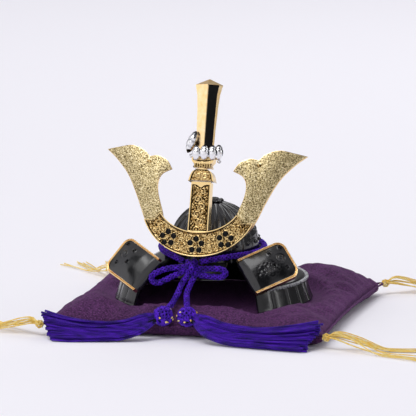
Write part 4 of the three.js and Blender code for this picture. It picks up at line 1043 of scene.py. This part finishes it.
def mirrored(mesh):
    """A left-hand copy of a right-hand mesh."""
    shape = bmesh.new()
    shape.from_mesh(mesh)
    bmesh.ops.scale(shape, vec=(-1, 1, 1), verts=shape.verts)
    bmesh.ops.reverse_faces(shape, faces=shape.faces)
    copy = bpy.data.meshes.new("mirrored")
    shape.to_mesh(copy)
    shape.free()
    return copy


def set_out_pair(name, mesh, finishes, node=None, crease=40, right_lean=Vector(), left=None):
    """The right one, moved by right_lean, and the mirror image of it or of the mesh given as left."""
    left = mirrored(left or mesh)
    mesh.transform(Matrix.Translation(right_lean * MM))
    for side, shape in (("right", mesh), ("left", left)):
        set_out(f"{name}_{side}", shape, finishes, [f"{node}_{side}"] if node else (), crease)


panel = plate(FOLD_COLUMNS + PANEL_COLUMNS, PANEL_ROWS, panel_place)
smooth_panel = plate(FOLD_COLUMNS + PANEL_COLUMNS, PANEL_ROWS,
                     lambda u, v, front: panel_place(u, v, front, cloud_depth=0.0))
set_out_pair("turnback_panel", finished_mesh("panel", panel, 0.0005), [black_lacquer], "turnback",
             right_lean=RIGHT_LEAN, left=finished_mesh("smooth_panel", smooth_panel, 0.0005))


# %% Turnback rim
def rim_outline(inset):
    """Along the top, round the outer end and back along the bottom of the panel."""
    end, side, radius = PANEL_WIDTH / 2 - inset, PANEL_HEIGHT / 2 - inset, PANEL_CORNER - inset
    line = [(-PANEL_WIDTH / 2, side)]
    for start, centre_up in ((90, side - radius), (0, radius - side)):
        for i in range(17):
            turn = math.radians(start - 5.625 * i)
            line.append((end - radius + radius * math.cos(turn), centre_up + radius * math.sin(turn)))
    return line + [(-PANEL_WIDTH / 2, -side)]


RIM_POINTS = len(rim_outline(0)) - 1


OUTER_BEAD = 0.62  # the share of the rim's width that its higher outer bead takes


def rim_place(u, v, front):
    along, up = rim_outline(RIM_WIDTH * v)[round(u * RIM_POINTS)]
    if v < OUTER_BEAD:
        bead = 0.8 * math.sqrt(abs(math.sin(math.pi * v / OUTER_BEAD)))
    else:
        bead = 0.6 * math.sqrt(abs(math.sin(math.pi * (v - OUTER_BEAD) / (1 - OUTER_BEAD))))
    return on_panel(along, up, 0.6 + bead if front else -1.8), 0.0


rim = plate(RIM_POINTS, 16, rim_place)
set_out_pair("turnback_rim", finished_mesh("rim", rim), [bright_gilt], "turnback_rim",
             right_lean=RIGHT_LEAN)

# %% [markdown]
# ## The crest plate
# The crest stands on one plane that leans back and sweeps away to the sides. Its lower plate is a
# crescent with notched ends: a polished border, a thin raised line inside it and a chased ground with
# three plum blossoms. The relief is real here, and each point's depth sets its tone: painted shade
# that darkens the steps and hollows.

# %% Crest plane
LEAN = math.radians(18)
CREST_Y, CREST_Z, CREST_CURVE = HELMET_Y - BOWL_HALF_DEPTH - 16.7, BOWL_RIM + 13, 166.7


def on_crest(x, up, out):
    return Vector((x, CREST_Y + math.sin(LEAN) * up - math.cos(LEAN) * out + x * x / (2 * CREST_CURVE),
                   CREST_Z + math.cos(LEAN) * up + math.sin(LEAN) * out))


# %% Crest plate
PLATE_THICKNESS, PLATE_BORDER = 2.2, 0.65
BLOSSOMS = [(-15.4, 3.2), (0, 0), (15.4, 3.2)]
PETAL_RING, PETAL_RADIUS, HEART_RADIUS = 3.2, 1.4, 0.34
PETALS = [(x + PETAL_RING * math.cos(turn), up + PETAL_RING * math.sin(turn))
          for x, up in BLOSSOMS for turn in [math.radians(90 + 72 * i) for i in range(5)]]
END_BOSSES = [(-24.2, 10.2), (24.2, 10.2)]
# Half width, height of the middle, radius upwards and the cosine at which the arc ends
LOWER_ARC, UPPER_ARC = (31.5, 22.2, 28.4, 0.36), (22.5, 23.3, 16.5, 0.43)


def on_arc(arc, share):
    half_width, middle, radius, end = arc
    turn = share * math.acos(end)
    return Vector((half_width * math.sin(turn), middle - radius * math.cos(turn)))


def crescent(u, v):
    """A point of the crescent, its distance from the nearest edge and from the nearer end."""
    even = 2 * u - 1
    notched = 1 - 0.09 * (1 - abs(2 * v - 1))
    share = even * (1 + (notched - 1) * abs(even) ** 6)
    low, high = on_arc(LOWER_ARC, share), on_arc(UPPER_ARC, share)
    return low.lerp(high, v), min(v, 1 - v) * (high - low).length, (1 - abs(even)) * 39


def crest_place(u, v, front):
    (x, up), edge, to_end = crescent(u, v)
    if not front:
        return on_crest(x, up, -PLATE_THICKNESS), 0.0
    inside = min(edge, to_end * 1.1)
    field = step_up(inside, PLATE_BORDER, PLATE_BORDER + 0.25)
    out = -0.55 * field
    # The tone is painted shade: near black in the step inside the border, lighter on the raised line, dark
    # specks in the grain's pits, darker round the petals and in the bosses' scroll hollows.
    tone = 0.13 * field + 0.85 * hill(inside - PLATE_BORDER - 0.12, 0.14)
    line = hill(inside - PLATE_BORDER - 0.55, 0.16)
    out += 0.28 * line
    tone -= 0.15 * line
    if field > 0.5 and inside > PLATE_BORDER + 0.6:
        grain = noise.noise(Vector((x, up, 0)) / 0.55) + 0.5 * noise.noise(Vector((x, up, 5)) / 0.3)
        out += 0.16 * grain
        tone += 0.55 * max(0, -grain)
    for px, pu in PETALS:
        reach = math.hypot(x - px, up - pu)
        if reach < 3:
            out += -0.3 * (1 - step_up(reach, 1.3, 1.5)) + 0.22 * hill(reach - 1.7, 0.22)
            tone += 0.1 * hill(max(0, reach - 1.5), 0.6) - 0.2 * hill(reach - 1.72, 0.2)
    for bx, bu in END_BOSSES:
        reach = math.hypot(x - bx, up - bu)
        curl = math.atan2(up - bu, (x - bx) * (1 if bx > 0 else -1))
        scroll = math.cos(2 * math.pi * reach / 1.5 - curl)
        out += (0.18 * scroll + 0.12) * hill(reach, 1.6)
        tone += (0.08 - 0.1 * scroll) * hill(reach, 1.5)
    return on_crest(x, up, out), min(1, max(0, tone))


crest = plate(300, 52, crest_place)
set_out("blossom_plate", finished_mesh("crest", crest), [chased_gilt], ["crest_plate"], crease=60)

petals = bmesh.new()
for px, pu, radius in [(*p, PETAL_RADIUS) for p in PETALS] + [(*p, HEART_RADIUS) for p in BLOSSOMS]:
    made = bmesh.ops.create_uvsphere(petals, u_segments=24, v_segments=12, radius=1)["verts"]
    for v in made:
        v.co = on_crest(px + v.co.x * radius, pu + v.co.y * radius, -0.62 + 0.34 * v.co.z * min(1, radius))
set_out("blossom_enamel", finished_mesh("petals", petals, 0.0001), [black_enamel])

# %% [markdown]
# ## The horns
# Two flat horns rise from behind the plate. Their outline is four smooth lines between corners, made
# one face. Straight cuts across it let it follow the crest's sweep, and only its rims are polished:
# the blasted grain stays on the flat.

# %% Horns
HORN_REACH, HORN_TOP, HORN_THICKNESS = 54.2, 51.2, 1.6
HORN_EDGES = (
    ((0.43, 0.08), (0.536, 0.215), (0.644, 0.467), (0.755, 0.687), (0.889, 0.842), (1, 0.934)),
    ((1, 0.934), (0.878, 0.969), (0.734, 1), (0.609, 0.961), (0.544, 0.898)),
    ((0.544, 0.898), (0.454, 0.912), (0.36, 0.867), (0.303, 0.779)),
    ((0.303, 0.779), (0.397, 0.725), (0.435, 0.646), (0.428, 0.521), (0.371, 0.336), (0.34, 0.2)))
horn_back = -PLATE_THICKNESS - 0.7 - HORN_THICKNESS


def cut_out(outline, low, high, cuts, rim):
    """A flat plate with the given outline, cut in strips, its corners bevelled by rim millimetres."""
    shape = bmesh.new()
    shape.faces.new([shape.verts.new((x, y, high)) for x, y in outline])
    for x in cuts:
        bmesh.ops.bisect_plane(shape, geom=shape.verts[:] + shape.edges[:] + shape.faces[:], dist=1e-5,
                               plane_co=(x, 0, 0), plane_no=(1, 0, 0))
    made = bmesh.ops.extrude_face_region(shape, geom=shape.faces[:], use_keep_orig=True)["geom"]
    lower_corners = [g for g in made if isinstance(g, bmesh.types.BMVert)]
    bmesh.ops.translate(shape, vec=(0, 0, low - high), verts=lower_corners)
    bmesh.ops.recalc_face_normals(shape, faces=shape.faces)
    corners = [e for e in shape.edges if len(e.link_faces) == 2 and e.calc_face_angle() > 1.2
               and abs(e.verts[0].co.z - e.verts[1].co.z) < 0.01]
    bmesh.ops.bevel(shape, geom=corners, offset=rim, segments=2, affect="EDGES", profile=0.5, material=-1)
    shape.normal_update()
    for face in shape.faces:
        face.material_index = 0 if abs(face.normal.z) > 0.95 else 1
    return shape


horn_outline = []
for horn_edge in HORN_EDGES:
    line = smooth_line([(across * HORN_REACH, up * HORN_TOP, 0) for across, up in horn_edge], 0.7)
    horn_outline += [(p.x, p.y) for p in line[:-1]]
horn_outline.append((0.34 * HORN_REACH, 0.16 * HORN_TOP))
horn = cut_out(horn_outline, horn_back, horn_back + HORN_THICKNESS, [17.5 + 1.5 * i for i in range(24)], 0.28)
for v in horn.verts:
    v.co = on_crest(*v.co)
set_out_pair("crest_horn", finished_mesh("horn", horn), [blasted_gilt, bright_gilt], "horn",
             crease=30)

eye_x, eye_up, face_out = 0.55 * HORN_REACH, 0.842 * HORN_TOP, horn_back + HORN_THICKNESS
EYE_CORNERS = ((-1.9, -0.2), (-0.2, 1.0), (1.8, 0.1), (0.1, -1.0))
eye = cut_out([(eye_x + across, eye_up + up) for across, up in EYE_CORNERS],
              face_out - 0.2, face_out + 0.12, (), 0.08)
tone = eye.verts.layers.float.new("tone")
for v in eye.verts:
    v.co, v[tone] = on_crest(*v.co), 0.2
set_out_pair("horn_eye", finished_mesh("eye", eye, 0.001), [chased_gilt, chased_gilt])

# %% [markdown]
# ## The sword
# A ritual sword stands in the crest. Handle, cap and collar are one kind of piece: a block whose width
# changes with its height, a worked front and plain sides. The scrolls are spirals set one above the
# other, each wound against the last.

# %% Sword mounts
HANDLE_FRONT, HANDLE_DEPTH, HANDLE_HALF_WIDTH = -2.5, 5.6, 5.6
SWORD_MIDDLE = HANDLE_FRONT - HANDLE_DEPTH / 2
HANDLE_HEAD, CAP_FOOT, COLLAR_FOOT, BLADE_FOOT = 33.7, 34.0, 41.3, 49.4
CAP_HEIGHT, COLLAR_HEIGHT, CAP_HALF_DEPTH, COLLAR_HALF_DEPTH = 6.6, 7.8, 3.6, 3.2
MOUTH_FOOT = 6.8


def scrolls(x, up):
    """From 0 in a hollow to 1 on a ridge: a chain of spirals, left and right by turns."""
    best = 0.0
    for k in range(-1, 8):
        way = 1 if k % 2 else -1
        cx, cu = 1.15 * way, 8.2 + 4.1 * k
        reach, curl = math.hypot(x - cx, up - cu), math.atan2(up - cu, (x - cx) * way)
        ridge = 0.5 + 0.5 * math.cos(2 * math.pi * reach / 1.35 - curl)
        best = max(best, ridge * hill(reach, 2.5))
    return best


def mount_block(columns, rows, foot, height, width, front_out, back_out, relief):
    """width and relief are rules of the height's share; relief gives a rise and a tone of painted shade."""
    def place(u, v, front):
        side = 2 * u - 1
        x = side * width(v)
        up = foot(side) + height * v if callable(foot) else foot + height * v
        if not front:
            return on_crest(x, up, back_out), 0.0
        rise, tone = relief(x, up, width(v) - abs(x), v)
        return on_crest(x, up, front_out + rise), min(1, max(0, tone))
    return plate(columns, rows, place)


def handle_relief(x, up, edge, v):
    top = HANDLE_HEAD - up - 1.5 - 1.5 * hill(x, 1.6)
    inside = min(edge, top + 0.6, up - MOUTH_FOOT - 0.3)
    field = step_up(inside, 0.6, 0.8)
    ridge = scrolls(x, up) if field > 0.3 else 0
    grain = noise.noise(Vector((x, up, 3)) / 0.4)
    rise = -0.5 * field + (0.42 * ridge + 0.1 * grain) * step_up(inside, 0.9, 1.3)
    # The tone is painted shade: a dark line at the field's step, darker between the scrolls and in the
    # grain's pits.
    return rise, 0.85 * hill(inside - 0.8, 0.16) + field * (0.26 - 0.26 * ridge + 0.1 * max(0, -grain))


handle = mount_block(54, 190, -4, HANDLE_HEAD + 4, lambda v: HANDLE_HALF_WIDTH * (1 - 0.07 * v),
                     HANDLE_FRONT, HANDLE_FRONT - HANDLE_DEPTH, handle_relief)
set_out("sword_handle_block", finished_mesh("handle", handle), [chased_gilt], ["sword_handle"])

CAP_WIDTHS = ((0, 7.0), (0.1, 6.7), (0.43, 6.2), (0.66, 5.5), (0.8, 4.8), (0.9, 3.7), (0.97, 2.2), (1, 1.3))


def cap_relief(x, up, edge, v):
    inside = min(edge, (1 - v) * 7 - 0.1, 2 * (up - CAP_FOOT) + 1.2)
    field = step_up(inside, 1.0, 1.25)
    heart = hill(math.hypot(abs(x) - 1.7, up - CAP_FOOT - 3.0), 1.35)
    heart += hill(math.hypot(x, up - CAP_FOOT - 4.6), 0.8)
    curl = 0.5 + 0.5 * math.cos(2 * math.pi * math.hypot(abs(x) - 1.8, up - CAP_FOOT - 2.8) / 1.2)
    ridge = min(1, heart) * curl
    # The tone is painted shade: darker in the sunk field than on its ridges, with a dark line at its step.
    return (-0.45 * field + 0.42 * ridge * field,
            field * (0.17 - 0.14 * ridge) + 0.75 * hill(inside - 1.15, 0.2))


cap = mount_block(64, 44, lambda side: CAP_FOOT - 0.5 * abs(side) ** 6 + 0.5, CAP_HEIGHT,
                  lambda v: along_rows(CAP_WIDTHS, v)[0], SWORD_MIDDLE + CAP_HALF_DEPTH,
                  SWORD_MIDDLE - CAP_HALF_DEPTH, cap_relief)
set_out("sword_cap_block", finished_mesh("cap", cap), [chased_gilt], ["sword_cap"])

COLLAR_WIDTHS = ((0, 4.75), (0.06, 4.9), (0.12, 4.5), (0.22, 4.45), (0.3, 4.9), (0.38, 5.5), (0.5, 5.85),
                 (0.6, 5.9), (1, 5.9))


def collar_relief(x, up, edge, v):
    neck = 1 - step_up(v, 0.24, 0.32)
    flutes = 0.18 * math.cos(2 * math.pi * x / 1.3) * neck
    inside = min(edge, up - COLLAR_FOOT - 2.3 - 0.03 * x * x)
    cup = step_up(inside, 1.0, 1.2) * (1 - neck)
    # The tones are painted shade: a dark line at the cup's step, and darker in the flutes' grooves.
    cup_tone = 0.8 * hill(inside - 1.15, 0.22) + 0.1 * cup
    return flutes - 0.35 * cup, cup_tone * (1 - neck) + 0.3 * neck * (0.5 - flutes * 2)


collar = mount_block(60, 50, COLLAR_FOOT, COLLAR_HEIGHT, lambda v: along_rows(COLLAR_WIDTHS, v)[0],
                     SWORD_MIDDLE + COLLAR_HALF_DEPTH, SWORD_MIDDLE - COLLAR_HALF_DEPTH, collar_relief)
set_out("sword_collar_block", finished_mesh("collar", collar), [chased_gilt], ["sword_collar"])

# %% Blade
BLADE_ROWS = (
    # share of the length, half width, half depth, share of the right facet that is a gilt edge
    (0, 4.8, 3.1, 0.12), (0.3, 5.1, 3.17, 0.13), (0.6, 5.6, 3.3, 0.16), (0.78, 6.2, 3.45, 0.2),
    (0.88, 7.1, 3.58, 0.22), (0.905, 7.4, 3.6, 0.22), (0.912, 7.35, 3.55, 0.22), (0.99, 0.25, 0.3, 0.22))
BLADE_LENGTH = 39.8
blade = bmesh.new()
bmesh.ops.create_grid(blade, x_segments=7, y_segments=len(BLADE_ROWS) - 1, size=0.5)
for v in blade.verts:
    column, row = round((v.co.x + 0.5) * 7), round((v.co.y + 0.5) * (len(BLADE_ROWS) - 1))
    share, wide, deep, strip = BLADE_ROWS[row]
    section = ((wide, 0), (wide * (1 - strip), deep * strip), (wide * 0.06, deep * 0.94), (0, deep),
               (-wide, 0), (0, -deep), (wide * 0.5, -deep * 0.5), (wide, 0))
    x, out = section[column]
    v.co = on_crest(x, BLADE_FOOT + BLADE_LENGTH * share, SWORD_MIDDLE + out)
bmesh.ops.remove_doubles(blade, verts=blade.verts, dist=0.01)
bmesh.ops.holes_fill(blade, edges=[e for e in blade.edges if e.is_boundary], sides=0)
bmesh.ops.recalc_face_normals(blade, faces=blade.faces)
to_front = Vector((0, -math.cos(LEAN), math.sin(LEAN)))
up_crest = Vector((0, math.sin(LEAN), math.cos(LEAN)))
dark = [f for f in blade.faces
        if f.normal.dot(to_front) > 0.3 and f.normal.x > 0.2 and abs(f.normal.dot(up_crest)) < 0.45
        and 1 < f.calc_center_median().x < 3.9 and f.calc_area() > 1.5]
bmesh.ops.inset_region(blade, faces=dark, thickness=0.12, depth=-0.15, use_even_offset=True)
for face in dark:
    face.material_index = 1
print("blade: dark faces", len(dark))
set_out("sword_blade_steel", finished_mesh("blade", blade), [bright_gilt, black_enamel],
        ["sword_blade"], crease=12)

# %% [markdown]
# ## The claw
# A silver claw holds the blade: a ring round the collar, four knuckles in front and a thumb on the
# left. Each finger is a ball drawn long and pinched at its joints, and painted shade darkens the
# pinches, the finger's sides and stripes across its top.

# %% Claw
FINGER_SIZES, THUMB_SIZES = (2.05, 4.1, 1.9), (2.3, 6.2, 2.0)
claw_wide, claw_deep = COLLAR_WIDTHS[-1][1] + 0.3 + 1.6, HANDLE_DEPTH / 2 + 0.4 + 0.3 + 1.6
claw_height = COLLAR_FOOT + COLLAR_HEIGHT * 0.95
claw = bmesh.new()
tone = claw.verts.layers.float.new("tone")


def finger(middle, sizes, tilt, pinches, top_painted_shade):
    made = bmesh.ops.create_uvsphere(claw, u_segments=28, v_segments=30, radius=1)["verts"]
    for v in made:
        x, up, out = v.co.x, v.co.z, v.co.y
        joint = sum(hill(up - p, 0.09) for p in pinches)
        square = 1 + 0.16 * (1 - up * up)
        ridge = 1 + 0.025 * math.cos(7 * math.atan2(out, x))
        x, out = x * square * ridge * (1 - 0.1 * joint), out * square * ridge * (1 - 0.1 * joint)
        # Painted shade: darker in the pinches, on the ball's sides and in stripes over its top.
        shade = 0.3 * joint + 0.6 * step_up(abs(v.co.x), 0.8, 0.97)
        shade += top_painted_shade * step_up(up, 0.55, 0.8) * (0.5 + 0.5 * math.cos(3 * x))
        spot = Matrix.Rotation(tilt, 3, "Z") @ Vector((x * sizes[0], up * sizes[1], out * sizes[2]))
        v.co, v[tone] = on_crest(middle[0] + spot.x, middle[1] + spot.y, middle[2] + spot.z), min(1, shade)


for turn, lift in ((-24, 0.0), (8, 0.3), (41, 0.5), (82, 1.2)):
    s, c = math.sin(math.radians(turn)), math.cos(math.radians(turn))
    finger((claw_wide * s, claw_height + lift, SWORD_MIDDLE + claw_deep * c), FINGER_SIZES, 0, (0.42,), 0.7)
finger((-claw_wide + 0.8, claw_height + THUMB_SIZES[1], SWORD_MIDDLE + 0.8), THUMB_SIZES,
       math.radians(-20), (-0.45, 0.1, 0.55), 0.7)
finger((claw_wide + 0.4, claw_height - 3.6, SWORD_MIDDLE), (0.9, 0.9, 0.9), 0, (), 0.9)
claw_mesh = finished_mesh("claw", claw, 0.0001)
ring_line = [on_crest(0.93 * claw_wide * math.sin(t), claw_height - 1.2,
                      SWORD_MIDDLE + 0.93 * claw_deep * math.cos(t))
             for t in [2 * math.pi * i / 48 for i in range(49)]]
set_out("claw_fingers", joined([claw_mesh, strand_mesh("ring", [ring_line], 1.0, roundness=3)]),
        [silver_plate, silver_plate], ["claw_ring"])
nub = bmesh.new()
bmesh.ops.create_icosphere(nub, subdivisions=3, radius=1)
tone = nub.verts.layers.float.new("tone")
for v in nub.verts:
    lump = 1 + 0.25 * noise.noise(v.co * 2.2)
    v.co, v[tone] = on_crest(-claw_wide - 0.4 + 1.4 * lump * v.co.x, claw_height + 1.6 + 1.0 * lump * v.co.y,
                             SWORD_MIDDLE + 1.4 + 1.2 * lump * v.co.z), 0.55
set_out("claw_nub", finished_mesh("nub", nub, 0.0001), [chased_gilt])

# %% [markdown]
# The short post behind the plate is hidden in use, so its solid stays as it is and is lacquered.

# %% Crest post
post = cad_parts["crest_post"]
post.data.materials.clear()
post.data.materials.append(black_lacquer)

# %% [markdown]
# ## Table and light
# The ornament stands on a plain pale table that runs out of sight. A broad sun gives the soft shadows,
# and one large soft box from the upper left, narrow ones at both sides and one behind give the grey
# streaks along the ribs: black lacquer shows mostly what it reflects. The pale sky is brighter in front
# and to the left, and two spots of it are unlit, which the lacquer and the gilt show as dark.

# %% Table and light
table_finish = new_finish("matt_white_board", "#f1f0f6", 0.9, Specular_IOR_Level=0.2)
fibre = mottle(table_finish, object_place(table_finish), 1.2)
feed(table_finish, Roughness=ranged(table_finish, fibre, 0.86, 0.94))
table_shape = bmesh.new()
bmesh.ops.create_grid(table_shape, x_segments=8, y_segments=8, size=14)
table_mesh = bpy.data.meshes.new("table")
table_shape.to_mesh(table_mesh)
table_mesh.materials.append(table_finish)
table = bpy.data.objects.new("table", table_mesh)
table.location.z = -0.2 * MM
bpy.context.scene.collection.objects.link(table)


def shining(name, kind, power, heading, place=(0, 0, 0)):
    """Puts a lamp in the scene and returns its light, for the settings that only its kind has."""
    light = bpy.data.lights.new(name, kind)
    light.energy = power
    lamp = bpy.data.objects.new(name, light)
    lamp.location = place
    lamp.rotation_euler = Vector(heading).to_track_quat("-Z", "Y").to_euler()
    bpy.context.scene.collection.objects.link(lamp)
    return light


def soft_box(name, place, size, power):
    light = shining(name, "AREA", power, aim - Vector(place), place)
    light.shape = "RECTANGLE"
    light.size, light.size_y = size


soft_box("key_box", (-0.6, -0.7, 1.2), (0.8, 0.8), 3.5)
shining("broad_top_light", "SUN", 1.12, (0.15, 0.35, -0.92)).angle = math.radians(40)
soft_box("left_box", (-1.15, -0.3, 0.55), (0.4, 0.9), 0.45)
soft_box("right_box", (1.15, 0.1, 0.5), (0.2, 0.9), 1.6)
soft_box("back_box", (0.2, 1.2, 0.9), (1.2, 0.4), 3.0)

SKY_STRENGTH, SKY_LEAN = 0.6, (-0.26, -0.42, 0.08)
UNLIT_SPOTS = ((-0.55, -0.42, 0.72), (0.42, -0.56, 0.71))
UNLIT_EDGE, UNLIT_CORE, UNLIT_REST = 0.89, 0.97, 0.08  # cosines from the spot's middle, and what is left
sky = bpy.data.worlds.new("pale_room")
sky.use_nodes = True
sky.node_tree.nodes["Background"].inputs[0].default_value = linear("#f6f4f9")
toward = add(sky, "ShaderNodeTexCoord").outputs["Generated"]
lean = add(sky, "ShaderNodeVectorMath", {0: toward, 1: SKY_LEAN}, operation="DOT_PRODUCT").outputs["Value"]
glow = add(sky, "ShaderNodeMath", {0: lean, 1: SKY_STRENGTH}, operation="ADD").outputs[0]
for spot in UNLIT_SPOTS:
    near = add(sky, "ShaderNodeVectorMath", {0: toward, 1: spot}, operation="DOT_PRODUCT").outputs["Value"]
    kept = add(sky, "ShaderNodeMapRange", {0: near, 1: UNLIT_EDGE, 2: UNLIT_CORE, 3: 1.0, 4: UNLIT_REST},
               interpolation_type="SMOOTHSTEP").outputs[0]
    glow = add(sky, "ShaderNodeMath", {0: glow, 1: kept}, operation="MULTIPLY").outputs[0]
sky.node_tree.links.new(glow, sky.node_tree.nodes["Background"].inputs[1])
bpy.context.scene.world = sky
bpy.context.scene.view_settings.view_transform = "Standard"
print("light: a broad sun and four soft boxes, table:", table_finish.name)
